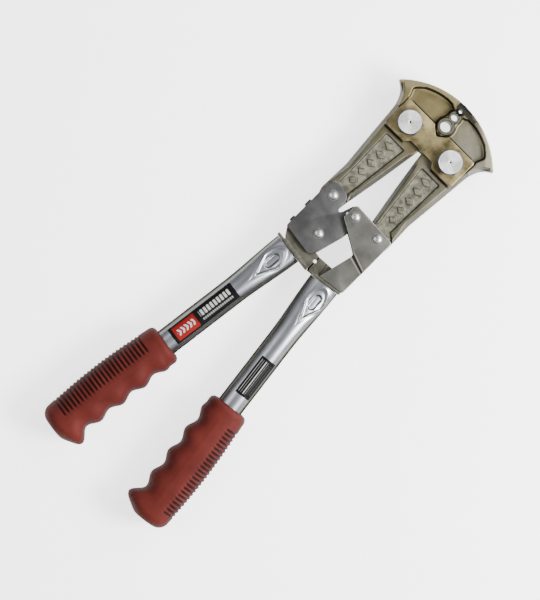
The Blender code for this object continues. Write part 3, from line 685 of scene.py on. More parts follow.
def besideTube(side):  # the frame at the top of a tube, with Y along it
    spot = Matrix.Translation((side * tubeShape["topX"], tubeShape["topY"], 0))
    return spot @ Matrix.Rotation(side * tubeShape["tilt"], 4, "Z")


def tubePlace(side):
    return toWorld @ besideTube(side)


castFloor = castFinish()
brightZinc = zincFinish()
turnedZinc = turnedFinish()
rivetSteel = metalFinish("rivetSteel")
strapMetal = metalFinish("platedStrap")
coolPlate = metalFinish("coolPlate")
warmPlate = metalFinish("warmPlate")
yokeMetal = metalFinish("forgedYoke")
redRubber = rubberFinish()
print("finishes ready")


strapShape = {
    "low": 8.3,
    "high": 13.3,
    "halfWidth": 40.5,
    "rise": 15.0,
    "drop": 15.5,
    "waist": 10.9,
    "edge": 0.9,
}

jawShape = {
    "crownRadius": 82.0,
    "crownHeight": 45.2,
    "hornX": 57.5,
    "crownHalf": 13.0,
    "seatHalf": 8.0,
    "armFloorHalf": 6.25,
    "endHalf": 6.0,
    "endRadius": 12.5,
    "seatRadius": 13.2,
    "strapTop": 15.3,
    "outerDraft": 4.2,
    "innerDraft": 3.4,
    "closingGap": 0.05,
    "closingLean": 0.6,
    "holes": ((20.0, 5.0), (31.0, 3.3), (38.4, 1.9)),
    "lip": 0.45,
    "bossFoot": 9.7,
    "boltHole": 6.3,
    "pinHole": 4.3,
    "pocketTop": -19.6,
    "pocketFoot": rivetY + 6.0,
    "voxel": 0.55,
}

padShape = {
    "count": 5,
    "top": -26.5,
    "pitch": 10.8,
    "halfWide": 7.2,
    "narrowing": 0.62,
    "halfTall": 4.2,
    "rise": 0.9,
}


def jawOutline():
    jaw = jawShape
    centreY = jaw["crownHeight"] - jaw["crownRadius"]
    last = math.degrees(math.acos(-jaw["hornX"] / jaw["crownRadius"]))
    hornY = centreY + math.sqrt(jaw["crownRadius"] ** 2 - jaw["hornX"] ** 2)
    hornLow = (-jaw["hornX"], hornY - 1.6)
    shoulder = (-44.4, 0.0)
    waist = (-(rivetX + jaw["endRadius"] - 0.9), 0.7 * rivetY)
    throat = (-2.14, -17.0)
    toe = (-(rivetX - jaw["endRadius"]), rivetY)
    points = arcPoints((0, centreY), jaw["crownRadius"], 87.0, last, 42)
    points += [hornLow] + curvePoints(hornLow, (-46.5, hornLow[1] - 4.4), shoulder, 16) + [shoulder]
    points += curvePoints(shoulder, (waist[0] - 2.6, 0.5 * waist[1] - 6.0), waist, 20) + [waist]
    points += arcPoints((-rivetX, rivetY), jaw["endRadius"], 180.0, 360.0, 24)
    middle = (0.5 * (toe[0] + throat[0]) + 0.9, 0.5 * (toe[1] + throat[1]))
    points += curvePoints(toe, middle, throat, 16) + [throat]
    return points + [(-0.4, 0.0), (-0.4, 5.0), (4.0, 6.0)]  # the closing plane is cut later


def jawDraft(x, y):  # how far the flanks lean in between the parting line and the face
    if y > 22.0:
        return 0.5 if x < -1.0 else 0.0
    aboveEnd = smoothStep(-89.0, -80.0, y)
    if x < 0.5 * (-rivetX + y * 0.03):
        return 0.5 + (jawShape["outerDraft"] - 0.5) * smoothStep(20.0, 4.0, y) * aboveEnd
    return jawShape["innerDraft"] * smoothStep(-14.0, -24.0, y) * aboveEnd


def mirrorBoth(bm):  # completes the half above the middle plane
    flat = [f for f in bm.faces if all(abs(v.co.z) < 1e-5 for v in f.verts)]
    bmesh.ops.delete(bm, geom=flat, context="FACES_ONLY")
    bmesh.ops.mirror(bm, geom=everything(bm), axis="Z", merge_dist=0.001)
    bmesh.ops.recalc_face_normals(bm, faces=bm.faces)
    return bm


def crownDraft(x, y):
    radius = jawShape["crownRadius"]
    onArc = abs(math.hypot(x, y - jawShape["crownHeight"] + radius) - radius) < 0.1
    if x > -1.0:
        return 0.0
    return 0.9 if onArc else 3.2


def crownBlock():
    bm = taperedPrism(jawOutline(), 0.0, jawShape["crownHalf"], crownDraft)
    spot, down = (0, 4.0, 0), (0, -1, 0)
    bmesh.ops.bisect_plane(
        bm, geom=everything(bm), plane_co=spot, plane_no=down, clear_outer=True
    )
    bmesh.ops.holes_fill(bm, edges=[e for e in bm.edges if e.is_boundary], sides=0)
    return mirrorBoth(bm)


def strapSeat():  # its upper edge slopes, so that the crown clears the strap when the jaw opens
    top, foot = jawShape["strapTop"], jawShape["bossFoot"]
    sideX = strapShape["halfWidth"] + 0.3
    slope = (sideX - boltX) * math.tan(math.radians(6.0))
    outline = [(-sideX, -4.0), (6.0, -4.0), (6.0, foot - 0.6), (0.0, foot - 0.6)]
    outline += [(-5.4, foot + 4.0), (-6.9, foot + 5.6)]
    outline += [(-8.4, top), (-boltX, top), (-sideX, top + slope)]
    return prism(outline, jawShape["seatHalf"], jawShape["crownHalf"] + 1.0)


def bossEdge():  # the left edge of the boss round the two larger crimp holes
    bigY, mediumY = jawShape["holes"][0][0], jawShape["holes"][1][0]
    points = arcPoints((0, bigY), 8.0, 222.0, 142.0, 12)
    return points + arcPoints((0, mediumY), 5.7, 202.0, 132.0, 10)


def crownPockets():
    low, top, corner = 9.0, (-8.3, 38.2), (-36.3, 31.9)
    rim = curvePoints(top, (-21.5, 39.6), corner, 12)
    outline = bossEdge() + roundCorners(
        [(*top, 1.0), *rim, corner, (-44.6, 24.4, 4.0), (-37.6, low), (-8.5, low)]
    )
    upper, lower = jawShape["crownHalf"] + 1.0, jawShape["seatHalf"]
    return taperedPrism(outline, upper, lower, lambda x, y: 1.0)


def armPocket():
    top, foot = jawShape["pocketTop"], jawShape["pocketFoot"]
    outline = roundCorners([(-32.7, top, 1.5), (-31.5, foot), (-18.2, foot), (-10.4, top, 1.5)])
    upper, lower = jawShape["seatHalf"] + 1.0, jawShape["armFloorHalf"]
    return taperedPrism(outline, upper, lower, lambda x, y: 0.5)


def onPocketFloor(spot):
    top, foot = jawShape["pocketTop"], jawShape["pocketFoot"]
    share = (top - spot.y) / (top - foot)
    inside = -33.6 + 1.2 * share < spot.x < -9.5 - 7.8 * share
    return inside and -0.04 < share < 1.3 and abs(spot.z) < jawShape["seatHalf"] - 0.05


def pocketPads():  # a plain run of raised lozenges on the pocket floor
    pad, pads = padShape, []
    low, high = jawShape["armFloorHalf"] - 1.5, jawShape["armFloorHalf"] + pad["rise"]
    for step in range(pad["count"]):
        y = pad["top"] - pad["pitch"] * step
        middle = -21.9 + 0.055 * (y + 20.0)  # the arm leans a little
        wide, tall = pad["halfWide"] - pad["narrowing"] * step, pad["halfTall"]
        lozenge = [(middle - wide, y), (middle, y + tall), (middle + wide, y), (middle, y - tall)]
        pads.append(taperedPrism(lozenge, low, high, lambda x, y: 0.8))
    return joined(*pads)


def tipFacet(side):  # ground facet at the tip of the closing face, longer on the right jaw
    reach = 6.0 if side < 0 else 15.0
    facet = rotated(block((-reach, -4.0, 0.0), (2.0, 12.0, 8.0)), -38, "X")
    return moved(facet, (0, jawShape["holes"][2][0], jawShape["crownHalf"] - 0.6))


def drill(y, radius):  # a crimp hole with a small chamfer at both faces
    lip, edge = jawShape["lip"], jawShape["crownHalf"]
    half = [(0, edge + 1.0), (radius + lip, edge + 1.0), (radius + lip, edge), (radius, edge - lip)]
    return turned(half + [(r, -z) for r, z in reversed(half)], (0.0, y), 40)


def makeJaw(name, side):
    jaw = jawShape
    bolt, pin = (-boltX, 0.0), (-rivetX, rivetY)
    body = mirrorBoth(taperedPrism(jawOutline(), 0.0, jaw["seatHalf"], jawDraft))
    steps = [
        ("UNION", crownBlock()),
        ("DIFFERENCE", bothFaces(strapSeat)),
        ("DIFFERENCE", bothFaces(crownPockets)),
        ("DIFFERENCE", bothFaces(armPocket)),
        ("UNION", bothFaces(pocketPads)),
        ("DIFFERENCE", bothFaces(lambda: tipFacet(side))),
        ("REMESH", jaw["voxel"]),
        ("SMOOTH", 3),
    ]
    bm = carve(body, steps)
    gap = -jaw["closingGap"]
    closing = block((gap, -120, -20), (30, 80, 20))
    # a slight lean, so that no light falls straight through the slit
    rotated(closing, -jaw["closingLean"] * side, "Y", (gap, 0, 0))
    radius, low = jaw["seatRadius"], jaw["endHalf"]
    seat = [(0, 9), (radius, 9), (radius, low), (0, low)]
    cutters = [closing, *(drill(y, radius) for y, radius in jaw["holes"])]
    cutters += [rod(jaw["boltHole"], 30, bolt, 40), bothFaces(lambda: turned(seat, pin, 64))]
    cutters += [rod(jaw["pinHole"], 30, pin, 32)]
    bm = carve(bm, [("DIFFERENCE", cutter) for cutter in cutters])
    bm.normal_update()
    for face in bm.faces:
        if onPocketFloor(face.calc_center_median()):
            face.material_index = 1
    if side > 0:
        mirrored(bm, "X")
    body, finishes = f"jaw_{name}", [jawMetal, castFloor]
    makePiece(f"{name}JawForging", bm, body, finishes, [f"jaw_{name}"])


jawMetal = jawFinish()
for name, side in sides:
    makeJaw(name, side)
print("jaws ready")


def strapOutline():
    wide, rise, drop = strapShape["halfWidth"], strapShape["rise"], -strapShape["drop"]
    waist, foot = -strapShape["waist"], jawShape["bossFoot"]
    left = [(-wide, rise, 2.0), (-wide, drop, 4.0), (-17.0, drop, 2.0), (-13.0, waist, 2.0)]
    notch = [(8.0, rise, 1.0), (6.9, foot + 3.7), (0.0, foot - 1.6, 1.0)]
    notch += [(-6.9, foot + 3.7), (-8.0, rise, 1.0)]
    return roundCorners(left + [(-x, *rest) for x, *rest in reversed(left)] + notch)


for face, flip in (("front", 1), ("rear", -1)):
    strap = prism(strapOutline(), strapShape["low"], strapShape["high"])
    softenRim(strap, strapShape["high"], strapShape["edge"], 4)
    softenRim(strap, strapShape["low"], 0.3, 2)
    if flip < 0:
        mirrored(strap, "Z")
    makePiece(f"{face}StrapPlate", strap, "head", [strapMetal], [f"{face}_strap"])


boltShape = {
    "seat": 13.6,
    "height": 9.0,
    "flats": 21.0,
    "nutFlats": 19.0,
    "nutHeight": 6.5,
    "shank": 6.0,
    "threadTop": -14.2,
    "pitch": 1.5,
    "end": -20.7,
    "faceRings": 14,
}


def hexBlock(centre, flats, low, high):
    bm = bmesh.new()
    radius, tall = flats / math.sqrt(3), high - low
    bmesh.ops.create_cone(bm, cap_ends=True, segments=6, radius1=radius, radius2=radius, depth=tall)
    rotated(bm, 30, "Z")
    if abs(max(bm.verts, key=lambda v: v.co.y).co.x) > 0.1:  # a corner points up the tool
        rotated(bm, 30, "Z")
    return moved(bm, (*centre, 0.5 * (low + high)))


def turnedFace(top, reach):  # shallow tool rings round a centre mark, then the chamfer
    profile = [(0, top - 2.4), (0.8, top - 1.7), (0.95, top - 0.3), (1.25, top - 0.12)]
    rings = boltShape["faceRings"]
    for step in range(rings + 1):
        radius = 1.5 + (reach - 1.5) * step / rings
        profile.append((radius, top - 0.06 - 0.03 * (step % 2)))
    chamfer = [(reach + 0.25, top - 0.35), (reach + 0.4, top - 2.2), (reach + 2.7, top - 4.4)]
    return profile + chamfer


def makeBolt(name, side):
    bolt = boltShape
    centre, seat, end = (side * boltX, 0.0), bolt["seat"], bolt["end"]
    top = seat + bolt["height"]
    dome = turnedFace(top, 0.5 * bolt["flats"] - 0.5)
    dome += [(13.7, seat + 0.9), (11.4, seat - 0.05), (0, seat - 0.05)]
    head = hexBlock(centre, bolt["flats"], seat, top)
    head = carve(head, [("INTERSECT", turned(dome, centre, 72))])
    crest = bolt["threadTop"]
    shank = [(0, seat + 1), (bolt["shank"], seat + 1), (bolt["shank"], crest)]
    while crest - bolt["pitch"] > end + 0.9:  # thread ridges on the last stretch
        shank += [(bolt["shank"] - 0.7, crest - 0.5 * bolt["pitch"])]
        crest -= bolt["pitch"]
        shank += [(bolt["shank"], crest)]
    shank += [(bolt["shank"] - 1.0, end), (0, end)]
    bm = carve(head, [("UNION", turned(shank, centre, 48))])
    replaced = [f"pivot_bolt_{name}"]
    makePiece(f"{name}PivotBolt", bm, "head", [turnedZinc], replaced, sharp=28)


def makeNut(name, side):
    bolt = boltShape
    centre, high, bore = (side * boltX, 0.0), -bolt["seat"], bolt["shank"] + 0.2
    low, reach = high - bolt["nutHeight"], 0.5 * bolt["nutFlats"]
    shell = [
        (bore, high + 0.05),
        (reach + 1.4, high + 0.05),
        (reach + 1.9, high - 0.5),
        (reach + 1.9, low + 1.3),
        (reach - 0.3, low),
        (bore + 0.8, low),
        (bore, low + 0.8),
        (bore, high + 0.05),
    ]
    nut = hexBlock(centre, bolt["nutFlats"], low - 0.1, high)
    nut = carve(nut, [("INTERSECT", turned(shell, centre, 64))])
    replaced = [f"pivot_nut_{name}"]
    makePiece(f"{name}PivotNut", nut, "head", [brightZinc], replaced, sharp=28)


for name, side in sides:
    makeBolt(name, side)
    makeNut(name, side)
print("head ready")


bracketShape = {
    "innerLow": 6.3,
    "innerHigh": 10.3,
    "outerLow": 10.6,
    "outerHigh": 14.6,
    "edge": 0.7,
    "bottomY": rivetY - 51.0,
    "halfWidth": 38.8,
    "braceRivet": (-12.5, rivetY - 32.4),
    "joggleWidth": 6.5,
    "slotFar": (-4.3, -2.0),
    "slotRadius": 3.6,
}


def leftPlateOutline():
    rivet, y, bottom = -rivetX, rivetY, bracketShape["bottomY"]
    return roundCorners(
        [
            (rivet - 10.6, y + 10.0, 8.0),
            (rivet - 10.4, bottom + 3.8, 2.0),
            (-6.0, bottom - 0.8, 4.0),
            (-1.6, bottom + 7.0, 1.5),
            (4.8, y - 20.0, 3.0),
            (6.5, y - 7.0, 5.0),
            (6.5, y + 6.5, 5.0),
            (-7.6, y + 6.5, 3.5),
            (-10.8, y - 3.4, 3.0),
            (rivet + 12.6, y - 10.6, 1.5),
            (rivet + 11.4, y + 10.0, 8.0),
        ]
    )


def flangeLine(x):
    rise = 2.9 / math.cos(tubeShape["tilt"])
    return tubeShape["topY"] + rise + (x - tubeShape["topX"]) * math.tan(tubeShape["tilt"])


def rightPlateOutline():
    y, edge, bottom = rivetY, bracketShape["halfWidth"], bracketShape["bottomY"]
    return roundCorners(
        [
            (-7.3, y + 8.6, 4.0),
            (-7.3, y - 7.2, 2.0),
            (12.7, y - 18.4, 3.0),
            (22.3, y - 24.4, 3.0),
            (17.4, bottom + 6.6, 1.5),
            (14.2, flangeLine(14.2)),
            (edge, flangeLine(edge), 2.0),
            (edge, y + 4.8, 2.0),
            (edge - 2.0, y + 6.2, 2.0),
        ]
    )


def joggle(bm):  # the step down from the lobe to the flange
    corner = Vector((20.0, rivetY - 21.4))
    outer = Vector((bracketShape["halfWidth"], rivetY - 27.2))
    along = (outer - corner).normalized()
    down = Vector((along.y, -along.x))
    drop = bracketShape["outerLow"] - bracketShape["innerLow"]
    width = bracketShape["joggleWidth"]
    for step in range(9):
        spot = (*(corner + down * (width * step / 8)), 0)
        bmesh.ops.bisect_plane(
            bm, geom=everything(bm), plane_co=spot, plane_no=(*down, 0), dist=1e-4
        )
    for vert in bm.verts:
        vert.co.z -= drop * smoothStep(0.0, width, (vert.co.xy - corner).dot(down))
    return bm


def lobeBevel():  # the rolled lower edge of the lobe
    first, last = Vector((-9.5, rivetY - 6.0)), Vector((16.0, rivetY - 20.3))
    run = last - first
    bm = rotated(block((0, -6, 0), (run.length, 3.0, 6)), 38, "X")
    rotated(bm, math.degrees(math.atan2(run.y, run.x)), "Z")
    return moved(bm, (*first, bracketShape["outerHigh"] - 0.2))


def makeLeftPlate(face, flip):
    bracket = bracketShape
    plate = prism(leftPlateOutline(), bracket["innerLow"], bracket["innerHigh"])
    softenRim(plate, bracket["innerHigh"], bracket["edge"], 4)
    centre, far, radius = Vector((0.0, rivetY)), Vector(bracket["slotFar"]), bracket["slotRadius"]
    heading = math.degrees(math.atan2(far.y, far.x))
    slot = arcPoints(centre, radius, heading + 90, heading + 270, 16)
    slot += arcPoints(centre + far, radius, heading - 90, heading + 90, 16)
    plate = carve(plate, [("DIFFERENCE", prism(slot, 0, 20))])
    if flip < 0:
        mirrored(plate, "Z")
    replaced = [f"left_{face.lower()}_plate"]
    makePiece(f"left{face}Bracket", plate, "handle_left", [coolPlate], replaced)


def makeRightPlate(face, flip):
    bracket = bracketShape
    plate = prism(rightPlateOutline(), bracket["outerLow"], bracket["outerHigh"])
    softenRim(plate, bracket["outerHigh"], bracket["edge"], 4)
    plate = joggle(carve(plate, [("DIFFERENCE", lobeBevel())]))
    if flip < 0:
        mirrored(plate, "Z")
    replaced = [f"right_{face.lower()}_plate"]
    makePiece(f"right{face}Bracket", plate, "handle_right", [warmPlate], replaced)


for face, flip in (("Front", 1), ("Rear", -1)):
    makeLeftPlate(face, flip)
    makeRightPlate(face, flip)


rivets = {  # place, shank radius, side, CAD node
    "leftJawPin": ((-rivetX, rivetY), 4.0, "left", "left_jaw_rivet"),
    "leftBracePin": (bracketShape["braceRivet"], 4.0, "left", "left_bracket_rivet"),
    "rightJawPin": ((rivetX, rivetY), 4.0, "right", "right_jaw_rivet"),
    "centrePin": ((0.0, rivetY), 2.5, "right", "centre_pivot_rivet"),
}


def makeRivet(name, centre, shank, side, replaced):
    seat = bracketShape["innerHigh" if side == "left" else "outerHigh"]
    head = [(0, seat + 2.45), (1.2, seat + 2.42)]
    for step in range(1, 9):
        angle = math.radians(80 - 72 * step / 8)
        head.append((4.1 * math.cos(angle), seat + 0.35 + 2.05 * math.sin(angle)))
    head += [(4.15, seat + 0.35), (4.6, seat + 0.3), (4.7, seat + 0.05), (shank, seat)]
    bm = turned(head + [(r, -z) for r, z in reversed(head)], centre, 48)
    makePiece(name, bm, f"handle_{side}", [rivetSteel], [replaced], sharp=40)


for name, settings in rivets.items():
    makeRivet(name, *settings)

yokeShape = {
    "half": 6.0,
    "stopX": 2.4,
    "splitGap": 0.02,
    "splitLean": 8,
    "lineX": 12.4,
    "lineHalf": 0.45,
    "lineDepth": 1.2,
    "lineLength": 14.0,
    "flangeThick": 2.6,
    "flangeDepth": 10.2,
    "flangeReach": 16.0,
    "reliefHole": (2.4, rivetY - 51.6),
    "reliefRadius": 1.6,
    "voxel": 0.5,
}


def leftFootOutline():
    edge, top = -(rivetX + 9.6), rivetY - 14.5
    bottom = bracketShape["bottomY"] - 7.4
    lug = edge - 2.6
    stop = yokeShape["stopX"]
    return [
        (edge, top),
        (edge, top - 1.5),
        (lug, top - 2.0),
        (lug, top - 8.6),
        (edge, top - 9.1),
        (edge, top - 21.5),
        (lug, top - 22.0),
        (lug, top - 27.0),
        (edge, top - 27.5),
        (edge + 0.8, top - 33.5),
        (edge + 5.0, bottom + 4.0),
        (edge + 12.0, bottom),
        (stop, bottom - 1.6),
        (stop, bracketShape["bottomY"] + 4.6),
        (-3.2, bracketShape["bottomY"] + 5.6),
        (1.2, top - 8.0),
        (1.2, top),
    ]


def rightFootOutline():
    top, bottom = rivetY - 14.5, bracketShape["bottomY"] - 7.4
    edge, stop = bracketShape["halfWidth"] - 0.8, yokeShape["stopX"]
    return [
        (edge, top - 4.0),
        (24.4, top - 4.0),
        (24.0, top - 12.0),
        (18.8, bracketShape["bottomY"] + 5.6),
        (stop, bracketShape["bottomY"] + 4.6),
        (stop, bottom - 1.6),
        (edge - 12.0, bottom),
        (edge, bottom + 3.0),
    ]


def scoredLine():  # beside the stop on the right yoke
    yoke, low = yokeShape, bracketShape["bottomY"] - 8.4
    half, long = yoke["lineHalf"], yoke["lineLength"]
    start = (-half, low, yoke["half"] - yoke["lineDepth"])
    line = block(start, (half, low + long, yoke["half"] + 1.0))
    rotated(line, 7.4, "Z", (0, low + 0.5 * long, 0))
    return moved(line, (yoke["lineX"], 0, 0))


def makeYoke(name, side):
    yoke, stop = yokeShape, yokeShape["stopX"]
    foot = prism(leftFootOutline() if side < 0 else rightFootOutline(), -yoke["half"], yoke["half"])
    inner = (tubeShape["topX"] - side * stop) / math.cos(tubeShape["tilt"]) - 0.3
    start, end = sorted((-side * inner, side * yoke["flangeReach"]))
    depth = yoke["flangeDepth"]
    flange = block((start, 0.0, -depth), (end, yoke["flangeThick"], depth))
    tang = block((-8, -38, -4), (8, 1.5, 4))
    for part in (flange, tang):
        bmesh.ops.transform(part, matrix=besideTube(side), verts=part.verts)
    steps = [("UNION", flange), ("UNION", tang), ("REMESH", yoke["voxel"]), ("SMOOTH", 2)]
    bm = carve(foot, steps)
    near, far = stop + side * yoke["splitGap"], stop - side * 90
    split = block((min(near, far), -300, -30), (max(near, far), 0, 30))
    rotated(split, yoke["splitLean"], "Y", (stop, 0, 0))
    cuts = [split, rod(yoke["reliefRadius"], 9, yoke["reliefHole"], 24)]
    if side > 0:
        cuts += [scoredLine(), mirrored(scoredLine(), "Z")]
    bm = carve(bm, [("DIFFERENCE", cut) for cut in cuts])
    replaced = [f"{name}_yoke"]
    makePiece(f"{name}YokeForging", bm, f"handle_{name}", [yokeMetal], replaced)


for name, side in sides:
    makeYoke(name, side)
print("brackets ready")


def tubeSection(down):
    tube = tubeShape
    ease = smoothStep(0.0, tube["flatLength"], down)
    width = tube["endHalfWidth"] + (tube["radius"] - tube["endHalfWidth"]) * ease
    return width, math.sqrt(2 * tube["radius"] ** 2 - width * width)


def dimple(side, x, low):  # staked hollow: a wide drop-shaped dish with a deep slot in it
    middle = tubeShape["dimpleMiddle"]
    turn = side * tubeShape["dimpleTurn"]
    x -= tubeShape["dimpleShift"] if side > 0 else 0.0
    across = x * math.cos(turn) + (low - middle) * math.sin(turn)
    down = middle + (low - middle) * math.cos(turn) - x * math.sin(turn)
    reach = down - middle
    wide = abs(across) / 8.2
    if reach < 0:
        dish = math.hypot(wide, reach / 17.0)
    elif reach > 6:
        dish = wide + reach / 19.5
    else:
        dish = max(math.hypot(wide, reach / 22.0), wide + reach / 19.5)
    slot = math.hypot(across / 3.9, max(abs(reach + 1.2) - 4.0, 0.0) / 4.2)
    rim = 0.3 * math.exp(-(((dish - 1.1) / 0.18) ** 2))
    return 1.5 * smoothStep(1.05, 0.72, dish) + 1.7 * smoothStep(1.05, 0.55, slot) - rim


def sleeveGrid(around, stations):  # an open sleeve of quads with one ring at each station
    bm = bmesh.new()
    ring = bmesh.ops.create_circle(bm, cap_ends=False, segments=around, radius=1)["verts"]
    edges = list({edge for vert in ring for edge in vert.link_edges})
    for vert in ring:
        vert.co.z = vert.co.y
        vert.co.y = -stations[0]
    for upper, lower in zip(stations, stations[1:]):
        grown = bmesh.ops.extrude_edge_only(bm, edges=edges)["geom"]
        verts = [g for g in grown if isinstance(g, bmesh.types.BMVert)]
        edges = [g for g in grown if isinstance(g, bmesh.types.BMEdge)]
        bmesh.ops.translate(bm, vec=(0, upper - lower, 0), verts=verts)
    return bm


def makeTube(name, side):
    tube = tubeShape
    stations = [0.3 + 0.35 * step for step in range(130)]  # close together at the hollow
    stations += [stations[-1] + 4 * (step + 1) for step in range(38)] + [tube["length"]]
    bm = sleeveGrid(tube["around"], stations)
    for vert in bm.verts:
        angle = math.atan2(vert.co.z, vert.co.x)
        angle += 0.3 * math.sin(2 * angle)  # closer together on the two dimpled faces
        vert.co.x, vert.co.z = math.cos(angle), math.sin(angle)
        down = -vert.co.y
        width, depth = tubeSection(down)
        across, up = vert.co.x * width, vert.co.z * depth
        hollow = dimple(side, across, down) if abs(across) < 13 and down < 50 else 0.0
        vert.co.x = across
        vert.co.z = up - math.copysign(hollow, up)
    bmesh.ops.recalc_face_normals(bm, faces=bm.faces)
    bmesh.ops.solidify(bm, geom=bm.faces[:], thickness=tube["wall"])
    bmesh.ops.recalc_face_normals(bm, faces=bm.faces)
    body, replaced, finishes = f"handle_{name}", [f"{name}_tube"], [tubeFinish(side)]
    makePiece(f"{name}HandleTube", bm, body, finishes, replaced, tubePlace(side))


for name, side in sides:
    makeTube(name, side)
print("tubes ready")


gripShape = {
    "start": 134.0,
    "length": 123.5,
    "halfDepth": 18.3,
    "outer": 18.9,
    "bulge": 3.1,
    "inner": 17.8,
    "grooveDepth": 2.0,
    "groovePitch": 24.2,
    "firstCrest": 38.0,
    "ribStart": 15.0,
    "ribEnd": 108.0,
    "ribPitch": 3.9,
    "ribDepth": 0.8,
    "ribReach": {-1: (0.06, 0.2), 1: (0.4, 0.55)},
    "seam": 0.3,
    "heel": 5.6,
    "along": 290,
    "around": 88,
}


def endRounding(distance, radius):
    if distance >= radius:
        return 1.0
    hidden = radius - distance
    left = math.sqrt(max(radius * radius - hidden * hidden, 0.0))
    return 1.0 - (radius - left) / gripShape["outer"]


def gripPoint(side, down, angle):  # angle 0 is the outer side, pi the finger side
    grip = gripShape
    share = down / grip["length"]
    swell = min(max(share * 1.05 - 0.03, 0.0), 1.0)
    outer = grip["outer"] + grip["bulge"] * math.sin(math.pi * swell)
    wave = math.cos(math.tau * (down - grip["firstCrest"]) / grip["groovePitch"])
    calm = smoothStep(6.0, 14.0, down)
    inner = grip["inner"] + 1.2 * (1 - calm) + grip["grooveDepth"] * wave * calm
    heel = max(0.0, down - (grip["length"] - 24.0)) / 24.0
    inner += grip["heel"] * math.sin(math.pi * min(heel * 0.95, 1.0)) ** 2
    closing = endRounding(down, 5.0) * endRounding(grip["length"] - down, 9.0)
    flat = abs(math.cos(angle)) ** 0.9 * (1 if math.cos(angle) > 0 else -1)
    reach = outer if flat > 0 else inner
    across = reach * flat
    up = grip["halfDepth"] * math.copysign(abs(math.sin(angle)) ** 0.92, math.sin(angle))
    depthWave = 0.35 * wave * calm * smoothStep(0.2, -0.7, math.cos(angle))
    up *= 1 + 0.05 * math.sin(math.pi * share) + depthWave * 0.08
    first, last = grip["ribStart"], grip["ribEnd"]
    ribs = smoothStep(first - 1, first + 1, down) * smoothStep(last + 1, last - 1, down)
    ribs *= smoothStep(*grip["ribReach"][side], math.cos(angle))
    if abs(math.cos(angle)) < 0.01:  # mould seam
        seam = smoothStep(10.0, 16.0, down) * smoothStep(112.0, 106.0, down)
        up += math.copysign(grip["seam"], up) * seam
    tooth = math.cos(math.tau * (down - grip["ribStart"]) / grip["ribPitch"])
    cut = grip["ribDepth"] * ribs * smoothStep(0.35, -0.35, tooth)
    scale = closing * (1 - cut / grip["outer"])
    return across * scale, up * scale, cut / grip["ribDepth"]


def makeGrip(name, side):
    grip = gripShape
    count, ends = grip["along"], [0.25, 0.6, 1.0, 1.5]  # closer together at both ends
    stations = [grip["length"] * step / count for step in range(count + 1)]
    stations = sorted(set(stations + [grip["length"] - end for end in ends] + ends))
    bm = sleeveGrid(grip["around"], stations)
    grooves = bm.verts.layers.float.new("rib")
    for vert in bm.verts:
        angle = math.atan2(vert.co.z, vert.co.x)
        across, up, vert[grooves] = gripPoint(side, -vert.co.y, angle)
        vert.co.x = side * across
        vert.co.z = up
        vert.co.y -= grip["start"]
    edges = [e for e in bm.edges if e.is_boundary]
    for y in (-grip["start"], -grip["start"] - grip["length"]):
        ring = [e for e in edges if abs(e.verts[0].co.y - y) < 0.01]
        cap = bmesh.ops.contextual_create(bm, geom=ring)["faces"]
        if y == -grip["start"]:  # a mouth round the tube
            bmesh.ops.inset_region(bm, faces=cap, thickness=1.2, depth=0.0)
    bmesh.ops.recalc_face_normals(bm, faces=bm.faces)
    mouth = turned([(0, 8), (12.5, 8), (12.35, 0.6), (12.2, -60), (0, -60)], (0, 0), 64)
    moved(rotated(mouth, -90, "X"), (0, -grip["start"], 0))
    bm = carve(bm, [("DIFFERENCE", mouth)])
    body, place, replaced = f"handle_{name}", tubePlace(side), [f"{name}_grip"]
    piece = f"{name}RubberGrip"
    makePiece(piece, bm, body, [redRubber], replaced, place, sharp=60)


for name, side in sides:
    makeGrip(name, side)
print("grips ready")


labelShapes = {
    "left": {"start": 58.5, "length": 68.0, "spread": 40.0, "turn": 1.0},
    "right": {"start": 81.5, "length": 39.0, "spread": 37.0, "turn": 14.0},
}
labelTones = {
    "film": ((0.003, 0.003, 0.003), (0.007, 0.007, 0.007)),
    "print": (0.42, 0.42, 0.41),
    "red": (0.19, 0.01, 0.009),
}


def stripes(tree, value, count, share):  # an even row of stripes
    phase = calc(tree, "FRACT", calc(tree, "MULTIPLY", value, float(count)))
    return remap(tree, phase, share + 0.06, share - 0.06)


def longStripes(tree, across, down):  # black and white stripes with two faint rows of ticks
    def strip(low, high):
        return between(tree, across, low, high, 0.01)

    bars = most(tree, strip(0.13, 0.15), strip(0.26, 0.27), strip(0.4, 0.45), strip(0.54, 0.55))
    bars = times(tree, bars, between(tree, down, 0.06, 0.94, 0.01))
    fine = times(tree, stripes(tree, down, 23, 0.45), strip(0.63, 0.7))
    coarse = times(tree, stripes(tree, down, 17, 0.5), strip(0.79, 0.86))
    ticks = times(tree, most(tree, fine, coarse), 0.1, between(tree, down, 0.1, 0.9, 0.01))
    return most(tree, bars, ticks)


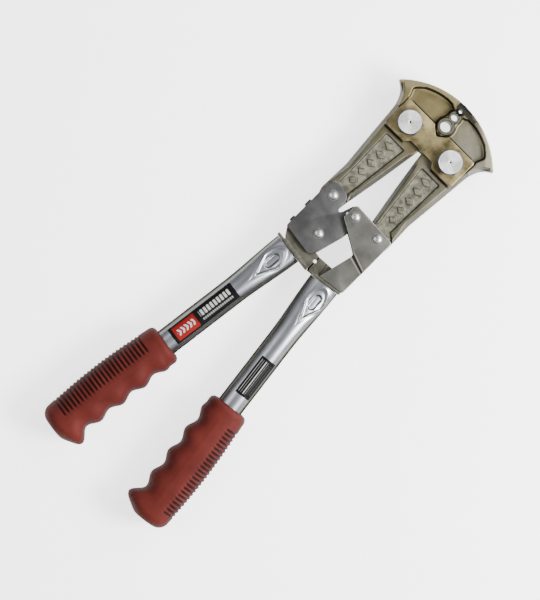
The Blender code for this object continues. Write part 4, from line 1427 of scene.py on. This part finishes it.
def blocksAndChevrons(tree, across, down):  # chevrons, then a wide and a thin row of blocks
    fromMiddle = calc(tree, "ABSOLUTE", calc(tree, "SUBTRACT", across, 0.5))
    lean = calc(tree, "ADD", down, times(tree, fromMiddle, 0.14))
    chevrons = times(tree, stripes(tree, lean, 18, 0.5), between(tree, across, 0.33, 0.67, 0.01))
    chevrons = times(tree, chevrons, between(tree, down, 0.08, 0.35))
    wide = times(tree, stripes(tree, down, 19, 0.62), between(tree, across, 0.22, 0.54, 0.01))
    thin = times(tree, stripes(tree, down, 33, 0.6), 0.6, between(tree, across, 0.66, 0.78, 0.01))
    rows = times(tree, most(tree, wide, thin), between(tree, down, 0.45, 0.93))
    return most(tree, chevrons, rows)


def labelFinish(name):
    settings = {"Specular IOR Level": 0.06}
    finish, tree, shader, coords = newFinish(f"{name}Label", settings)
    film = node(tree, "ShaderNodeUVMap", {"uv_map": "film"}).outputs["UV"]
    parts = node(tree, "ShaderNodeSeparateXYZ", Vector=film).outputs
    across, down = parts["X"], parts["Y"]
    colour = blendColours(tree, noise(tree, coords, 400, 3), *labelTones["film"])
    if name == "right":
        marks = longStripes(tree, across, down)
    else:
        field = between(tree, down, 0.045, 0.385)
        field = times(tree, field, between(tree, across, 0.1, 0.9, 0.01))
        colour = blendColours(tree, field, colour, labelTones["red"])
        marks = blocksAndChevrons(tree, across, down)
    colourTo(tree, shader, blendColours(tree, marks, colour, labelTones["print"]))
    scuffs = noise(tree, coords, 900, 4)
    sheenTo(tree, shader, scuffs, 0.28, 0.45)
    bumpTo(tree, shader, scuffs, 0.05, 0.0001)
    return finish


def makeLabel(name, side):
    label = labelShapes[name]
    bm = bmesh.new()
    bmesh.ops.create_grid(bm, x_segments=24, y_segments=40, size=0.5, calc_uvs=False)
    layer = bm.loops.layers.uv.new("film")
    for face in bm.faces:
        for loop in face.loops:
            loop[layer].uv = (loop.vert.co.x + 0.5, loop.vert.co.y + 0.5)
    radius = tubeShape["radius"] + 0.06
    for vert in bm.verts:
        angle = math.radians(90 - label["turn"] - 2 * label["spread"] * vert.co.x)
        down = label["start"] + label["length"] * (0.5 - vert.co.y)
        vert.co = (radius * math.cos(angle), -down, radius * math.sin(angle))
    bmesh.ops.solidify(bm, geom=bm.faces[:], thickness=-0.08)
    body, replaced, finishes = f"handle_{name}", [f"{name}_label"], [labelFinish(name)]
    makePiece(f"{name}Label", bm, body, finishes, replaced, tubePlace(side))


for name, side in sides:
    makeLabel(name, side)
print("labels ready")

for name in ("centre_bush", "right_front_spacer", "right_rear_spacer"):
    slots = frame["nodes"][name].data.materials
    slots.clear()
    slots.append(brightZinc if name == "centre_bush" else warmPlate)
